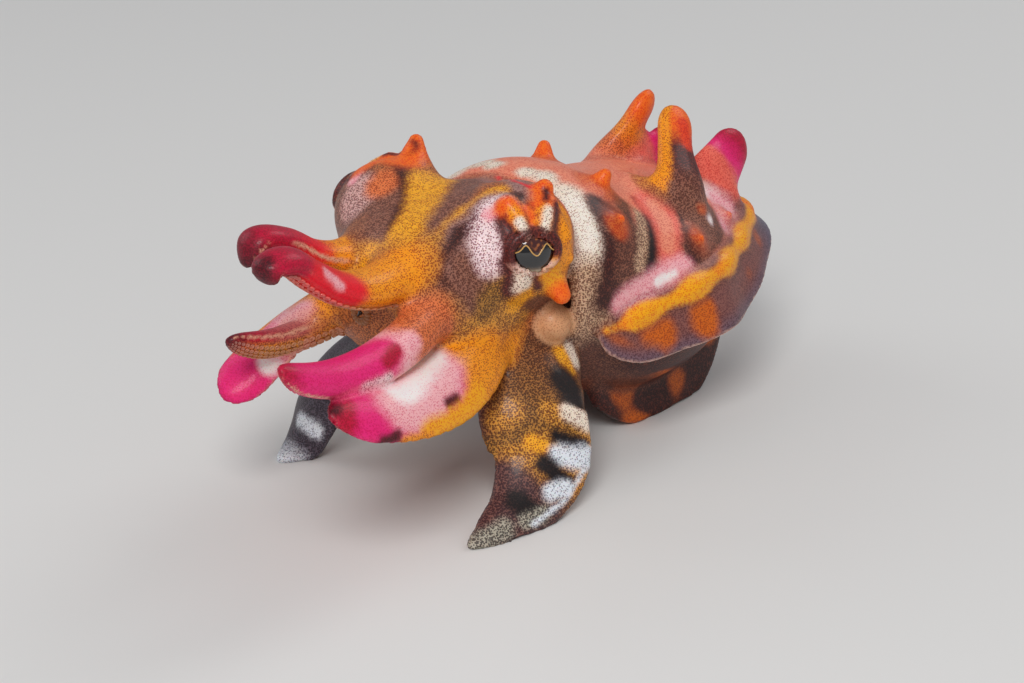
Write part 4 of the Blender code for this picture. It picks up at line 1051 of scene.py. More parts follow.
def paint_flaps():
    for name, flap in FLAPS.items():
        own = WEIGHT["flap_" + name]
        at, across, _ = along_limb(flap)
        at = at + 0.05 * FRAY
        tip = smooth_step(at, 0.6, 0.82)
        front = smooth_step(-across + 0.1 * FRAY, 0.45, 0.75)
        if name == "mid_left":
            paint("mauve", own)
            paint("plum", own * smooth_step(at, 0.25, 0.5))
            paint("flame", own * tip)
            paint("amber", own * front)
        elif name == "mid_right":
            paint("salmon", own)
            paint("rust", own * smooth_step(at, 0.3, 0.5))
            paint("flame", own * tip)
            paint("amber", own * np.maximum(front, smooth_step(at, 0.5, 0.7) * (1 - tip)))
        else:
            paint("coral", own)
            paint("magenta", own * smooth_step(at, 0.45, 0.62))
            paint("crimson", own * smooth_step(at, 0.6, 0.9))


def paint_fins():
    for side, sheet in zip(("left", "right"), FINS):
        at, across, _ = along_limb(sheet)
        own = WEIGHT["fin_" + side]
        paint("veil", own)
        patches = smooth_step(ripple(corners, 6.5, 23), 0.1, 0.6)
        paint("ember", own * patches * (1 - smooth_step(across, 0.2, 0.6)))
        paint("haze", own * smooth_step(at, 0.72, 0.9))
        paint("haze", own * smooth_step(across, 0.4, 0.9) * 0.6)
        paint("pearl", own * smooth_step(across, 0.94, 0.99))


def paint_collar_shadow_line():
    """Painted shadow: the thin red line at the mantle's front edge, on top, where the head goes under it."""
    line = 1 - smooth_step(np.abs(behind_collar(corners)), 0.25, 0.6)
    paint("scarlet", WEIGHT["near_body"] * line * smooth_step(NORMALS[:, 2], 0.2, 0.6))


paint_torso()
paint_arms()
paint_flaps()
paint_fins()
paint_collar_shadow_line()

# %% [markdown]
# ## Markings from the photograph
# The rest are brush strokes. Each names a paint, the part it lies on, a half-width in millimetres and a few
# pixels of the photograph. A ray from the camera through each pixel finds its place on the skin, and the
# stroke colours the corners near the line between them, with a frayed edge. Strokes on the mantle are
# repeated on its far side, and all but the first of those round the near eye are turned over to the far
# eye.

# %% Brush strokes
MESH_TREE = BVHTree.FromPolygons(corners.tolist(), faces.tolist())
EDGE_SOFT, EDGE_SOFTER = 0.2, 0.35  # in millimetres, and as a share of the stroke's half-width
missed = []


def skin_at(x, y):
    place, *_ = MESH_TREE.ray_cast(Vector(CAMERA_POINT), Vector(pixel_ray(x, y)))
    if place is None:
        missed.append((x, y))
        return None
    return np.array(place)


def distance_to_line(points, line):
    least = np.linalg.norm(points - line[0], axis=1)
    for start, end in zip(line, line[1:]):
        way = end - start
        share = np.clip((points - start) @ way / max(way @ way, 1e-9), 0, 1)
        least = np.minimum(least, np.linalg.norm(points - start - share[:, None] * way, axis=1))
    return least


def stroke(parts, colour, wide, pixels, twin=None):
    line = np.array([p for p in (skin_at(*pixel) for pixel in pixels) if p is not None])
    if not len(line):
        return
    lines = [line]
    if twin == "mantle":
        lines.append(line * (1, -1, 1))
    if twin == "eye":
        lines.append(over_to_far_eye(line))
    for path in lines:
        away = distance_to_line(corners, path) + 0.25 * wide ** 0.5 * FRAY
        soft = EDGE_SOFT + EDGE_SOFTER * wide
        paint(colour, weight_of(parts) * (1 - smooth_step(away, wide - soft, wide + soft)))


# %% Strokes on the mantle
MANTLE_STROKES = (
    ("cream", 3.6, ((566, 200), (580, 222), (588, 245), (590, 262))),
    ("ivory", 2.0, ((576, 206), (584, 222), (588, 238))),
    ("dotted", 3.8, ((585, 288), (588, 310), (586, 335))),
    ("umber", 4.0, ((582, 358), (600, 380), (630, 385))),
    ("dark", 1.8, ((597, 203), (606, 214), (612, 210))),
    ("dark", 2.4, ((606, 212), (616, 240), (614, 268), (608, 296))),
    ("umber", 2.0, ((622, 205), (626, 240), (624, 272))),
    ("flame", 1.5, ((616, 221), (622, 229))),
    ("dotted", 1.3, ((640, 216), (643, 240), (640, 266))),
    ("black", 0.8, ((636, 200), (649, 220), (653, 248), (648, 274))),
    ("umber", 1.4, ((640, 285), (622, 306))),
    ("coral", 2.6, ((648, 206), (662, 216), (670, 236), (674, 256), (674, 268))),
    ("salmon", 1.3, ((654, 206), (665, 222), (668, 245))),
    ("dark", 0.6, ((680, 212), (688, 236), (688, 262))),
    ("mauve", 2.8, ((668, 184), (690, 200), (702, 226), (698, 250))),
    ("dark", 1.3, ((690, 232), (694, 256))),
    # Painted highlight: a pink band with a small white streak in it, a toned-down glint on the wet mantle.
    ("pink", 2.2, ((624, 302), (644, 290), (664, 279), (684, 270))),
    ("white", 0.7, ((658, 282), (674, 274))),
    ("white", 1.6, ((706, 190), (712, 194))),
    ("white", 0.8, ((710, 219),)),
    ("flame", 1.1, ((702, 206),)),
    ("flame", 1.3, ((699, 234),)),
    ("pink", 2.8, ((722, 200), (730, 226))),
    ("cream", 1.5, ((527, 172),)),
    ("cream", 1.8, ((483, 163),)),
)
for colour, wide, pixels in MANTLE_STROKES:
    stroke("mantle", colour, wide, pixels, twin="mantle")

# %% Strokes on the head
HEAD_STROKES = (
    ("mauve", 6.0, ((350, 205), (375, 215), (392, 200))),
    ("mauve", 4.2, ((345, 240), (375, 240))),
    ("bulge", 2.6, ((352, 204), (362, 190))),
    ("rust", 2.0, ((388, 178), (380, 186))),
    ("dark", 1.5, ((400, 163), (410, 178), (412, 200), (398, 226))),
    ("flame", 1.5, ((365, 166), (385, 157), (402, 156))),
    ("flame", 3.0, ((400, 158), (416, 142), (430, 158))),
    ("plum", 1.0, ((408, 150), (412, 145))),
    ("gold", 3.4, ((447, 184), (438, 206), (420, 236), (388, 260), (360, 268))),
    ("gold", 2.2, ((425, 180), (420, 210), (400, 240))),
    ("mauve", 2.4, ((474, 180), (456, 206), (444, 226))),
    ("mauve", 1.5, ((438, 232), (424, 250))),
    ("lilac", 1.8, ((455, 171), (490, 178), (525, 192))),
    ("gold", 1.9, ((494, 194), (468, 214), (446, 242), (424, 268), (400, 285))),
    ("bronze", 6.0, ((440, 284), (470, 300), (506, 300))),
    ("rust", 1.6, ((436, 306), (446, 318), (430, 326))),
    ("mauve", 2.2, ((452, 284), (470, 300))),
    ("bronze", 3.4, ((470, 345), (495, 338), (516, 312))),
    ("umber", 2.6, ((486, 214), (462, 240), (446, 262), (432, 280))),
    ("lilac", 3.2, ((488, 212), (474, 236), (466, 258))),
    ("dark", 0.9, ((520, 196), (484, 212), (460, 233), (444, 256))),
    ("mauve", 2.6, ((466, 268), (486, 280))),
    ("olive", 2.0, ((500, 290), (486, 306))),
)
for colour, wide, pixels in HEAD_STROKES:
    stroke("head", colour, wide, pixels)

NEAR_EYE_STROKES = (
    ("blush", 2.4, ((494, 210), (489, 226), (487, 244), (490, 258))),
    ("pink", 1.0, ((500, 206), (490, 214))),
    ("plum", 1.1, ((503, 219), (508, 236), (512, 252))),
    ("flame", 1.3, ((500, 207), (509, 205), (517, 213))),
    ("amber", 0.9, ((514, 212), (524, 228))),
    ("cream", 0.7, ((520, 222), (528, 236))),
    ("plum", 1.3, ((534, 208), (538, 224), (540, 238))),
    ("flame", 0.6, ((526, 208), (532, 216), (538, 232))),
    ("flame", 2.2, ((546, 190), (546, 200))),
    ("amber", 1.0, ((545, 210), (543, 222))),
    ("cream", 0.7, ((549, 210), (545, 228))),
    ("plum", 0.5, ((546, 191), (546, 199))),
    ("plum", 0.8, ((557, 206), (555, 226), (552, 246))),
    ("amber", 1.7, ((565, 216), (568, 236), (566, 262))),
    ("plum", 1.3, ((508, 262), (514, 276), (510, 290))),
    ("cream", 1.4, ((526, 272), (523, 288))),
    ("gold", 1.5, ((516, 304), (524, 296))),
    ("plum", 0.9, ((536, 271), (539, 286))),
    ("yellow", 1.6, ((549, 268), (556, 284))),
    ("flame", 1.7, ((562, 294), (566, 303))),
    ("umber", 1.6, ((534, 302), (550, 310))),
    # Painted rim light: a thin pale line along the eye bulge's rear outline, repeated at the far eye.
    ("pearl", 0.3, ((577, 240), (579, 262), (575, 284))),
    ("pearl", 0.3, ((520, 265), (535, 270), (550, 263))),
)
for place, (colour, wide, pixels) in enumerate(NEAR_EYE_STROKES):
    stroke("head", colour, wide, pixels, twin="eye" if place else None)

# %% Strokes on the arms
ARM_STROKES = (
    ("arm_1_left", "amber", 3.4, ((420, 262), (395, 272), (376, 280))),
    ("arm_1_left", "scarlet", 3.0, ((352, 292), (336, 296), (318, 284))),
    # Painted highlight: a narrow pale glint on the curl of the first left arm.
    ("arm_1_left", "pink", 0.7, ((327, 273), (342, 286))),
    ("arm_1_left", "crimson", 2.4, ((300, 262), (280, 258))),
    ("arm_1_left", "maroon", 1.5, ((262, 266), (260, 276))),
    ("arm_1_right", "crimson", 1.6, ((268, 232), (284, 244))),
    ("arm_2_left", "rust", 3.0, ((430, 300), (412, 318))),
    ("arm_2_left", "pink", 1.6, ((412, 342), (404, 352))),
    ("arm_2_left", "magenta", 2.6, ((386, 352), (366, 364), (340, 370))),
    ("arm_2_left", "crimson", 1.0, ((396, 350), (388, 362))),
    ("arm_2_left", "blush", 0.9, ((388, 380), (364, 391))),
    ("arm_3_left", "magenta", 5.0, ((366, 412), (396, 418), (426, 412), (452, 396))),
    ("arm_3_left", "pink", 4.2, ((436, 372), (416, 390), (404, 402))),
    ("arm_3_left", "white", 2.8, ((424, 360), (410, 374), (400, 388))),
    ("arm_3_left", "pink", 1.6, ((438, 410), (420, 418))),
    ("arm_3_left", "maroon", 0.7, ((448, 403), (457, 398))),
    ("arm_3_left", "amber", 2.6, ((484, 340), (486, 366), (480, 390))),
    ("arm_3_left", "yellow", 1.8, ((480, 396), (468, 412), (450, 426), (430, 434))),
    ("arm_3_left", "amber", 0.9, ((430, 437), (404, 442))),
    ("arm_3_left", "maroon", 0.8, ((398, 436), (384, 442))),
    ("arm_3_left", "crimson", 2.0, ((340, 404), (342, 424), (356, 438))),
    ("arm_3_left", "maroon", 1.2, ((332, 408), (335, 426))),
    ("arm_3_right", "gold", 1.3, ((296, 302), (272, 318), (254, 338))),
    ("arm_3_right", "pink", 2.0, ((300, 312), (276, 336))),
    ("arm_3_right", "magenta", 3.2, ((254, 362), (236, 382))),
    ("arm_3_right", "white", 1.6, ((270, 362), (284, 366))),
    ("arm_3_right", "maroon", 1.6, ((262, 394), (282, 386))),
    ("arm_4_left", "umber", 2.0, ((484, 360), (492, 390), (484, 420))),
    ("arm_4_left", "black", 1.2, ((548, 336), (570, 342))),
    ("arm_4_left", "gold", 1.4, ((562, 354), (568, 366))),
    ("arm_4_left", "cream", 1.0, ((570, 348), (576, 362))),
    ("arm_4_left", "black", 2.3, ((564, 380), (574, 398))),
    ("arm_4_left", "bronze", 1.3, ((548, 410), (556, 414))),
    ("arm_4_left", "bronze", 1.7, ((496, 420), (512, 412))),
    ("arm_4_left", "gold", 1.1, ((532, 442), (542, 446))),
    ("arm_4_left", "cream", 1.2, ((568, 412), (588, 424), (590, 436))),
    ("arm_4_left", "black", 0.9, ((556, 436), (572, 442), (584, 446))),
    ("arm_4_left", "frost", 1.6, ((560, 456), (576, 458), (590, 458))),
    ("arm_4_left", "black", 1.3, ((544, 464), (556, 474), (566, 482))),
    ("arm_4_left", "frost", 1.2, ((550, 492), (566, 488))),
    ("arm_4_left", "dusk", 2.8, ((500, 480), (520, 492))),
    ("arm_4_left", "black", 1.5, ((516, 500), (530, 512))),
    ("arm_4_left", "foot", 1.1, ((526, 522), (544, 514))),
    ("arm_4_left", "frost", 0.35, ((591, 440), (584, 470), (566, 500), (534, 524))),
    ("arm_4_left", "foot", 1.6, ((474, 545), (492, 538), (504, 530))),
    ("arm_4_right", "frost", 1.2, ((300, 420), (316, 430))),
)
for parts, colour, wide, pixels in ARM_STROKES:
    stroke(parts, colour, wide, pixels)

# %% Strokes on the flaps and fin
OTHER_STROKES = (
    # Painted shadow: a thin red line where the head's nape goes under the mantle's edge.
    ("head mantle", "scarlet", 0.3, ((498, 177), (514, 181), (530, 187))),
    ("flap_mid_left", "ember_red", 1.3, ((690, 114), (685, 126), (688, 142))),
    ("fin_left", "ember", 2.2, ((652, 328), (664, 334))),
    ("fin_left", "ember", 2.2, ((704, 312), (706, 322))),
    ("crest_left", "pink", 0.8, ((628, 308), (650, 296))),
)
for parts, colour, wide, pixels in OTHER_STROKES:
    stroke(parts, colour, wide, pixels)


def paint_last():
    """What lies over all other markings: crests of the fins, the collar's lobes and the edges of the lids."""
    for side, crest in zip(("left", "right"), CRESTS):
        near = 1 - smooth_step(crest.distance(corners), 0.15, 0.7)
        paint("yellow", near)
        paint("flame", near * smooth_step(ripple(corners, 5.0, 25), 0.3, 0.9) * 0.6)
        paint("lobe", (1 - smooth_step(COLLAR_LOBES[side].distance(corners), 0.1, 0.8)) * 0.8)
        lid_edge = 1 - smooth_step(LIDS[side].distance(corners), 0.0, 0.3)
        upward = (corners - eye_centre(side)[0]) @ eye_axes(side)[2]
        paint("plum", lid_edge * smooth_step(upward, -1.2, -0.2))
        paint("pearl", lid_edge * (1 - smooth_step(upward, -1.6, -0.8)) * 0.7)


paint_last()
print("strokes that met no skin", missed)

# %% [markdown]
# ## The skin's material
# The material turns ground, ink and cover into single dots. A Voronoi texture gives each sac of ink its own
# cell; a dot grows with the cover until it fills the cell. A second, coarser layer makes the larger dots,
# and the same pattern raises the skin a little. A thin wet coat lies over all of it.

# %% Store the colours on the skin
FINE_SAC, COARSE_SAC = 0.00026, 0.0008  # width of an ink sac's cell in the two layers, in metres
FINE_INK, COARSE_INK = 0.85, 0.35  # how dark each layer gets
COARSE_OPEN = 0.35  # how far the coarse sacs open, as a share of the fine ones


def add_colour(mesh, name, values):
    layer = mesh.color_attributes.new(name, "FLOAT_COLOR", "POINT")
    opaque = np.column_stack([values, np.ones(len(values))])
    layer.data.foreach_set("color", opaque.astype(np.float32).ravel())


def add_number(mesh, name, values):
    layer = mesh.attributes.new(name, "FLOAT", "POINT")
    layer.data.foreach_set("value", np.asarray(values, np.float32))


add_colour(skin.data, "ground", GROUND)
add_colour(skin.data, "ink", INK)
add_number(skin.data, "cover", COVER)


class Nodes:
    """Short ways to add nodes to a material and join them."""

    def __init__(self, name):
        self.material = bpy.data.materials.new(name)
        self.material.use_nodes = True
        self.tree = self.material.node_tree
        self.shader = self.tree.nodes["Principled BSDF"]

    def add(self, kind, settings=None, **inputs):
        node = self.tree.nodes.new("ShaderNode" + kind)
        for key, value in (settings or {}).items():
            setattr(node, key, value)
        for key, value in inputs.items():
            self.join(value, node.inputs[key.replace("_", " ")])
        return node

    def join(self, value, socket):
        if isinstance(value, bpy.types.NodeSocket):
            self.tree.links.new(value, socket)
        else:
            socket.default_value = value

    def attribute(self, name):
        return self.add("Attribute", {"attribute_name": name})

    def math(self, kind, first, second=0.0, clamp=False):
        node = self.tree.nodes.new("ShaderNodeMath")
        node.operation, node.use_clamp = kind, clamp
        self.join(first, node.inputs[0])
        self.join(second, node.inputs[1])
        return node.outputs[0]

    def ramp(self, value, low, high, out_low=0.0, out_high=1.0):
        smooth = {"interpolation_type": "SMOOTHSTEP"}
        node = self.add("MapRange", smooth, Value=value, To_Min=out_low, To_Max=out_high)
        self.join(low, node.inputs["From Min"])
        self.join(high, node.inputs["From Max"])
        return node.outputs[0]

    def mix(self, share, first, second):
        node = self.add("Mix", {"data_type": "RGBA"})
        self.join(share, node.inputs[0])
        self.join(first, node.inputs[6])
        self.join(second, node.inputs[7])
        return node.outputs[2]


def dots(nodes, place, size, cover):
    """How much of a point lies under ink: cells of that size in metres, filled in step with the cover."""
    cells = nodes.add("TexVoronoi", {"feature": "F1"}, Vector=place, Scale=1 / size, Randomness=0.7)
    uneven = nodes.add("SeparateColor", Color=cells.outputs["Color"])
    grown = nodes.math("MULTIPLY", nodes.math("SQRT", nodes.math("MAXIMUM", cover, 0.0)), 0.7)
    grown = nodes.math("MULTIPLY", grown, nodes.ramp(uneven.outputs[0], 0.0, 1.0, 0.85, 1.15))
    far = nodes.math("SUBTRACT", grown, cells.outputs["Distance"])
    return nodes.ramp(far, -0.1, 0.12), cells


def make_skin_material():
    nodes = Nodes("living_skin")
    place = nodes.add("TexCoord").outputs["Object"]
    ground, ink = nodes.attribute("ground").outputs["Color"], nodes.attribute("ink").outputs["Color"]
    cover = nodes.attribute("cover").outputs["Fac"]
    cloud = nodes.add("TexNoise", Vector=place, Scale=900.0, Detail=3.0).outputs["Fac"]
    cover = nodes.math("ADD", cover, nodes.math("MULTIPLY", nodes.math("SUBTRACT", cloud, 0.5), 0.5))
    fine, _ = dots(nodes, place, FINE_SAC, cover)
    coarse, _ = dots(nodes, place, COARSE_SAC, nodes.math("MULTIPLY", cover, COARSE_OPEN))
    layers = nodes.math("MULTIPLY", fine, FINE_INK), nodes.math("MULTIPLY", coarse, COARSE_INK)
    inked = nodes.math("MAXIMUM", *layers)
    colour = nodes.mix(inked, ground, ink)
    nodes.join(colour, nodes.shader.inputs["Base Color"])
    grain = nodes.add("TexNoise", Vector=place, Scale=2600.0, Detail=2.0).outputs["Fac"]
    height = nodes.math("ADD", nodes.math("MULTIPLY", inked, 0.5), grain)
    bump = nodes.add("Bump", Height=height, Strength=0.25, Distance=0.00012)
    nodes.join(bump.outputs["Normal"], nodes.shader.inputs["Normal"])
    for socket, value in (("Roughness", 0.5), ("Specular IOR Level", 0.3), ("Subsurface Weight", 0.1),
                          ("Subsurface Scale", 0.0006), ("Coat Weight", 0.14), ("Coat Roughness", 0.14)):
        nodes.shader.inputs[socket].default_value = value
    return nodes.material


skin.data.materials.append(make_skin_material())

# %% [markdown]
# ## Eyes
# A cuttlefish's pupil is a dark W, because a flap of the iris hangs down in the middle of it. The ball is a
# dark, wet sphere. The flap is a shell just over the ball whose lower edge follows the W, with a thin
# golden rim.

# %% Eyes
W_POINTS = (  # across and up, as shares of the opening's half-sizes
    (-1.3, -0.1), (-0.76, 0.06), (-0.47, 0.44), (-0.25, 0.2), (-0.04, -0.1), (0.16, 0.04), (0.4, 0.46),
    (0.7, 0.12), (1.3, -0.1),
)
W_EDGE = curve_through(W_POINTS, np.linspace(0, 1, 60))
FLAP_OUT, RIM_RADIUS = 0.1, 0.09  # the flap's distance from the ball and the rim's half-thickness
FLAP_COLUMNS, FLAP_ROWS, FLAP_REACH, FLAP_TOP = 110, 22, 1.3, 1.35
FRONT_TILT, BACK_TILT = 62, 70  # degrees from its aim between which the ball changes from fine to coarse


def on_ball(side, across, up, out=0.0):
    """A place on the eyeball from shares of the opening's half-width and half-height."""
    centre = eye_centre(side)[0]
    radius = EYE_RADIUS + out
    x, y = across * LID_WIDE / EYE_RADIUS, up * LID_TALL / EYE_RADIUS
    ways = np.stack([np.sqrt(np.clip(1 - x * x - y * y, 0.02, 1)), x, y], -1)
    return centre + radius * unit(ways) @ eye_axes(side)


def ball(side):
    """The whole eyeball, fine in front and coarse behind, with each corner's place across and up the opening.
    """
    tilt = np.radians(np.concatenate([np.linspace(0, FRONT_TILT, 90), np.linspace(BACK_TILT, 180, 12)]))
    turn = np.linspace(0, 2 * math.pi, 144, endpoint=False)
    tilt, turn = np.meshgrid(tilt, turn, indexing="ij")
    ways = np.stack([np.cos(tilt), np.sin(tilt) * np.cos(turn), np.sin(tilt) * np.sin(turn)], -1)
    points = eye_centre(side)[0] + EYE_RADIUS * ways.reshape(-1, 3) @ eye_axes(side)
    across = (ways[..., 1] * EYE_RADIUS / LID_WIDE).ravel()
    up = (ways[..., 2] * EYE_RADIUS / LID_TALL).ravel()
    return points, grid_faces(*tilt.shape, closed=True), across, up


def grid_faces(rows, columns, closed=False):
    number = np.arange(rows * columns).reshape(rows, columns)
    number = np.hstack([number, number[:, :1]]) if closed else number
    corners_of = (number[:-1, :-1], number[1:, :-1], number[1:, 1:], number[:-1, 1:])
    return np.stack(corners_of, -1).reshape(-1, 4)


def tube(path, radius, sides=10):
    along = unit(np.gradient(path, axis=0))
    first = unit(np.cross(along, (0.3, 0.2, 0.93)))
    turn = np.linspace(0, 2 * math.pi, sides, endpoint=False)[:, None, None]
    rows = path + radius * (first * np.cos(turn) + np.cross(along, first) * np.sin(turn))
    return rows.transpose(1, 0, 2).reshape(-1, 3), grid_faces(len(path), sides, closed=True)


def glossy(name, colour, roughness, coat=0.0, attribute=None):
    nodes = Nodes(name)
    shader = nodes.shader.inputs
    shader["Base Color"].default_value = (*linear(colour), 1)
    shader["Roughness"].default_value = roughness
    shader["Coat Weight"].default_value = coat
    shader["Coat Roughness"].default_value = 0.03
    if attribute:
        nodes.join(nodes.attribute(attribute).outputs["Color"], shader["Base Color"])
    return nodes.material


EYE_WET = glossy("wet_eye", (12, 10, 12), 0.12, 1.0, attribute="ground")
GOLD_RIM = glossy("golden_rim", (214, 166, 92), 0.3, 0.6)
EYE_COLOURS = {"pupil": (8, 7, 10), "iris": (96, 74, 52), "lower": (168, 150, 120), "flap": (70, 22, 18),
               "speck": (206, 120, 60)}


def make_eye(side):
    points, faces_of, across, up = ball(side)
    eyeball = new_mesh_object("eyeball_" + side, to_frame(points), faces_of)
    edge = np.interp(across, *W_EDGE.T)
    below = -0.62 - 0.1 * np.cos(across * 2.2)
    colour = np.tile(linear(EYE_COLOURS["pupil"]), (len(points), 1))
    for name, share in (("iris", 1 - smooth_step(up, below - 0.22, below + 0.02)),
                        ("lower", 1 - smooth_step(up, below - 0.3, below - 0.16)),
                        ("flap", smooth_step(up, edge - 0.02, edge + 0.04))):
        colour += (linear(EYE_COLOURS[name]) - colour) * share[:, None]
    add_colour(eyeball.data, "ground", colour)
    eyeball.data.materials.append(EYE_WET)
    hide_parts("eye_" + side)

    columns = np.linspace(-FLAP_REACH, FLAP_REACH, FLAP_COLUMNS)
    edge = np.interp(columns, *W_EDGE.T)
    rows = np.linspace(0, 1, FLAP_ROWS)[:, None]
    up = edge + rows * (FLAP_TOP - edge)
    lift = FLAP_OUT * (1 - 0.5 * rows)
    centre, axes = eye_centre(side)[0], eye_axes(side)
    shell = on_ball(side, np.broadcast_to(columns, up.shape), up)
    shell = centre + (shell - centre) * (1 + (lift / EYE_RADIUS))[..., None]
    shell_faces = grid_faces(FLAP_ROWS, FLAP_COLUMNS)
    iris_flap = new_mesh_object("iris_flap_" + side, to_frame(shell.reshape(-1, 3)), shell_faces)
    speck = smooth_step(ripple(shell.reshape(-1, 3), 0.5, 31), 0.1, 0.7)[:, None]
    near_edge = (1 - smooth_step(rows * np.ones(FLAP_COLUMNS), 0.0, 0.35)).reshape(-1, 1)
    plain, bright = linear(EYE_COLOURS["flap"]), linear(EYE_COLOURS["speck"])
    shade = plain + (bright - plain) * speck * 0.6
    shade = shade * (1 - 0.5 * near_edge)
    add_colour(iris_flap.data, "ground", shade)
    iris_flap.data.materials.append(EYE_WET)
    rim_points, rim_faces = tube(on_ball(side, columns, edge, FLAP_OUT), RIM_RADIUS)
    rim = new_mesh_object("iris_rim_" + side, to_frame(rim_points), rim_faces)
    rim.data.materials.append(GOLD_RIM)
    for piece in (eyeball, iris_flap, rim):
        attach(piece, "root")


for side in EYE_BULGES:
    make_eye(side)

# %% [markdown]
# ## Suckers
# Suckers stand in four staggered rows on the inner face of every arm and shrink towards its tip. Each is a
# cup with a raised rim. They are set on the finished skin and turned to its slope, and all of one arm's are
# one mesh.

# %% Suckers
CUP = (  # outline of a cup: half-width and height, as shares of its half-width
    (0.62, -0.3), (0.92, 0.1), (1.0, 0.34), (0.88, 0.5), (0.66, 0.46), (0.5, 0.22), (0.26, 0.1), (0.02, 0.08),
)
CUP_SIDES = 12
SUCKER_MOST, SUCKER_SHARE = 0.55, 0.17  # largest half-width, and half-width as a share of the arm's
SUCKER_ROWS, SUCKER_START, SUCKER_END = (-0.54, -0.18, 0.18, 0.54), 0.24, 0.97


def sucker_places(arm):
    places, sizes = [], []
    run = SUCKER_START * (STATIONS - 1)
    step = 0
    while run < SUCKER_END * (STATIONS - 1):
        index = int(run)
        mix = run - index
        blend = lambda row: row[index] * (1 - mix) + row[min(index + 1, STATIONS - 1)] * mix
        size = min(SUCKER_MOST, SUCKER_SHARE * blend(arm.low))
        for share in SUCKER_ROWS[step % 2::2]:
            wide = share * blend(arm.low)
            tall = SUCKER_SIDE_FULL * blend(arm.thick) * (1 - share * share)
            places.append(blend(arm.middle) + blend(arm.across) * wide + blend(arm.face) * tall)
            sizes.append((size, *blend(arm.face)))
        run += max(size * 1.12, 0.2) / blend(arm.step)
        step += 1
    return np.array(places), np.array(sizes)


def cups(places, normals, sizes):
    """One mesh of cups, each turned to its own normal."""
    profile = np.array(CUP)
    turn = np.linspace(0, 2 * math.pi, CUP_SIDES, endpoint=False)
    first = unit(np.cross(normals, (0.31, 0.24, 0.92)))
    second = np.cross(normals, first)
    ring = first[:, None] * np.cos(turn)[:, None] + second[:, None] * np.sin(turn)[:, None]
    points = (places[:, None, None] + sizes[:, None, None, None] * (
        profile[None, :, None, :1] * ring[:, None] + profile[None, :, None, 1:] * normals[:, None, None]))
    quads = grid_faces(len(profile), CUP_SIDES, closed=True)
    each = len(profile) * CUP_SIDES
    faces_of = (quads[None] + each * np.arange(len(places))[:, None, None]).reshape(-1, 4)
    return points.reshape(-1, 3), faces_of[:, ::-1]


def nearest_ground(places):
    """The skin's own colour at each place."""
    near = [MESH_TREE.find_nearest(Vector(place))[2] for place in places]
    corner = faces[near, 0]
    cover = COVER[corner, None]
    return GROUND[corner] * (1 - cover) + INK[corner] * cover


SUCKER_SKIN = glossy("sucker_skin", (232, 170, 150), 0.45, 0.2, attribute="ground")
SUCKER_PALE, SUCKER_PALE_SHARE = (236, 176, 156), 0.3
total = 0
for name, arm in ARMS.items():
    places, sizes = sucker_places(arm)
    places = on_surface(places, rounds=4, most=0.5)
    value, slope = slope_of(places)
    normals = unit(slope)
    kept = (np.abs(value) < 0.05) & ((normals * sizes[:, 1:]).sum(1) > 0.6)
    points, cup_faces = cups(places[kept], normals[kept], sizes[kept, 0])
    suckers = new_mesh_object("suckers_" + name, to_frame(points), cup_faces)
    own = nearest_ground(places[kept])
    own += (linear(SUCKER_PALE) - own) * SUCKER_PALE_SHARE
    add_colour(suckers.data, "ground", np.repeat(own, len(CUP) * CUP_SIDES, axis=0))
    suckers.data.materials.append(SUCKER_SKIN)
    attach(suckers, "root")
    total += int(kept.sum())
print("suckers", total)

# %% [markdown]
# ## Lips and beak
# In the middle of the arms is the mouth: a soft, pleated ring of lip round a dark beak like a parrot's.

# %% Lips and beak
LIP_RING, LIP_THICK, LIP_PLEATS, LIP_SUNK = 1.15, 0.6, 18, 0.35
LIP_AROUND, LIP_SIDES = 132, 20
BEAK_STEPS, BEAK_SIDES = 10, 16
BEFORE_MOUTH = (-16.0, 0.0, 27.4)  # a point between the arms, from which the mouth is looked for


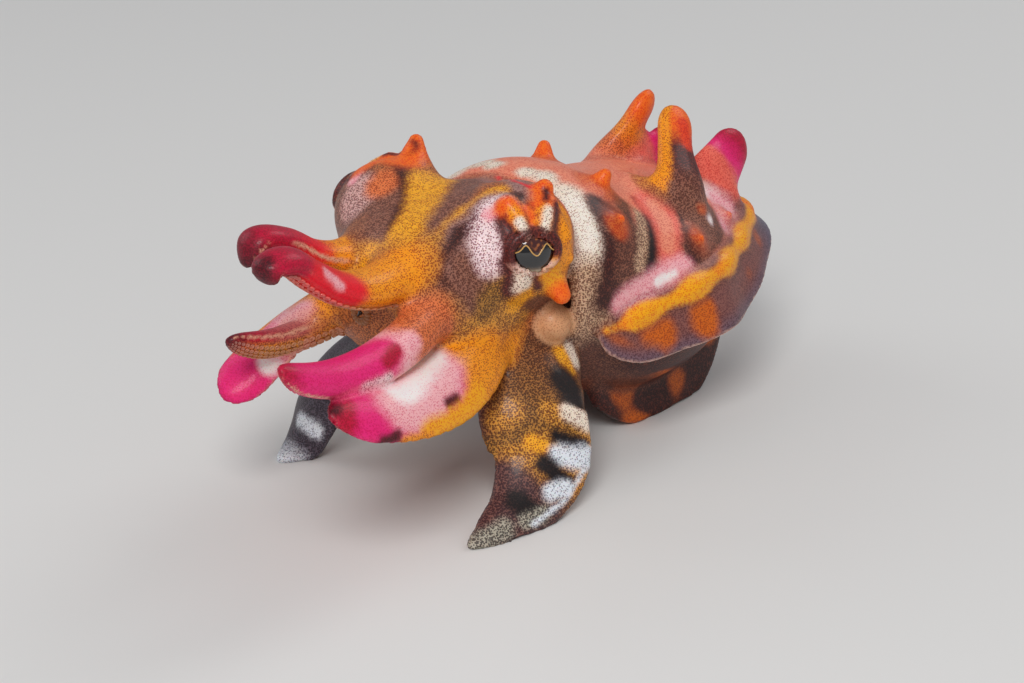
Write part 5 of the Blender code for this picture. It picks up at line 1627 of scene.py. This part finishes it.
def make_lips():
    heart = np.array(BEFORE_MOUTH)
    reach = 0.0
    for _ in range(60):
        reach += 0.8 * flesh((heart + (reach, 0, 0))[None])[0]
    mouth = heart + (reach + LIP_SUNK, 0, 0)
    print("mouth at", mouth.round(1))
    turn = np.linspace(0, 2 * math.pi, LIP_AROUND, endpoint=False)[:, None]
    round_lip = np.linspace(0, 2 * math.pi, LIP_SIDES, endpoint=False)[None]
    pleat = 1 + 0.12 * np.cos(LIP_PLEATS * turn) * (0.5 + 0.5 * np.cos(round_lip))
    away = LIP_RING + LIP_THICK * pleat * np.cos(round_lip)
    ahead = LIP_THICK * pleat * np.sin(round_lip)
    points = mouth + np.stack([-ahead, away * np.cos(turn), away * np.sin(turn)], -1)
    rows = np.arange(LIP_AROUND * LIP_SIDES).reshape(LIP_AROUND, LIP_SIDES)
    rows = np.vstack([rows, rows[:1]])
    rows = np.hstack([rows, rows[:, :1]])
    ring_faces = np.stack((rows[:-1, :-1], rows[1:, :-1], rows[1:, 1:], rows[:-1, 1:]), -1).reshape(-1, 4)
    lips = new_mesh_object("lips", to_frame(points.reshape(-1, 3)), ring_faces)
    lips.data.materials.append(glossy("lip_skin_wet", (158, 98, 52), 0.4, 0.25))
    start, end = np.array((0.4, 0.0, 0.5)), np.array((-0.9, 0.0, -0.35))
    path = mouth + np.linspace(start, end, BEAK_STEPS)
    size = np.linspace(1.0, 0.06, BEAK_STEPS)
    turn = np.linspace(0, 2 * math.pi, BEAK_SIDES, endpoint=False)
    oval = np.stack([0 * turn, 0.9 * np.cos(turn), 0.6 * np.sin(turn)], -1)
    hook = path[:, None] + size[:, None, None] * oval
    hook_faces = grid_faces(BEAK_STEPS, BEAK_SIDES, closed=True)
    beak = new_mesh_object("beak", to_frame(hook.reshape(-1, 3)), hook_faces)
    beak.data.materials.append(glossy("beak_horn", (34, 20, 14), 0.25, 0.5))
    for piece in (lips, beak):
        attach(piece, "root")


make_lips()

# %% [markdown]
# ## Floor and light
# A museum model is shown on a plain pale floor under soft studio light.

# %% Floor and light
FLOOR_SIZE = 6.0


def make_floor():
    mesh = bpy.data.meshes.new("floor")
    half = FLOOR_SIZE / 2
    square = [(-half, -half, 0), (half, -half, 0), (half, half, 0), (-half, half, 0)]
    mesh.from_pydata(square, [], [(0, 1, 2, 3)])
    floor = bpy.data.objects.new("floor", mesh)
    bpy.context.scene.collection.objects.link(floor)
    material = bpy.data.materials.new("floor_paper")
    material.use_nodes = True
    shader = material.node_tree.nodes["Principled BSDF"]
    shader.inputs["Base Color"].default_value = (0.80, 0.79, 0.77, 1)
    shader.inputs["Roughness"].default_value = 0.9
    mesh.materials.append(material)


def soft_light(name, place, aim, size, power):
    data = bpy.data.lights.new(name, "AREA")
    data.shape, data.size, data.energy = "DISK", size, power
    lamp = bpy.data.objects.new(name, data)
    lamp.location = place
    lamp.rotation_mode = "QUATERNION"
    lamp.rotation_quaternion = (Vector(aim) - Vector(place)).to_track_quat("-Z", "Y")
    bpy.context.scene.collection.objects.link(lamp)


def make_world():
    world = bpy.data.worlds.new("studio")
    world.use_nodes = True
    world.node_tree.nodes["Background"].inputs["Color"].default_value = (0.93, 0.95, 1.0, 1)
    world.node_tree.nodes["Background"].inputs["Strength"].default_value = 0.3
    bpy.context.scene.world = world
    bpy.context.scene.view_settings.view_transform = "Standard"


make_floor()
make_world()
soft_light("key", (-0.42, -0.30, 0.50), (0, 0, 0.02), 0.30, 2.6)
soft_light("fill", (-0.15, 0.55, 0.35), (0, 0, 0.02), 0.45, 0.6)
soft_light("rim", (0.50, -0.10, 0.45), (0, 0, 0.02), 0.35, 0.8)
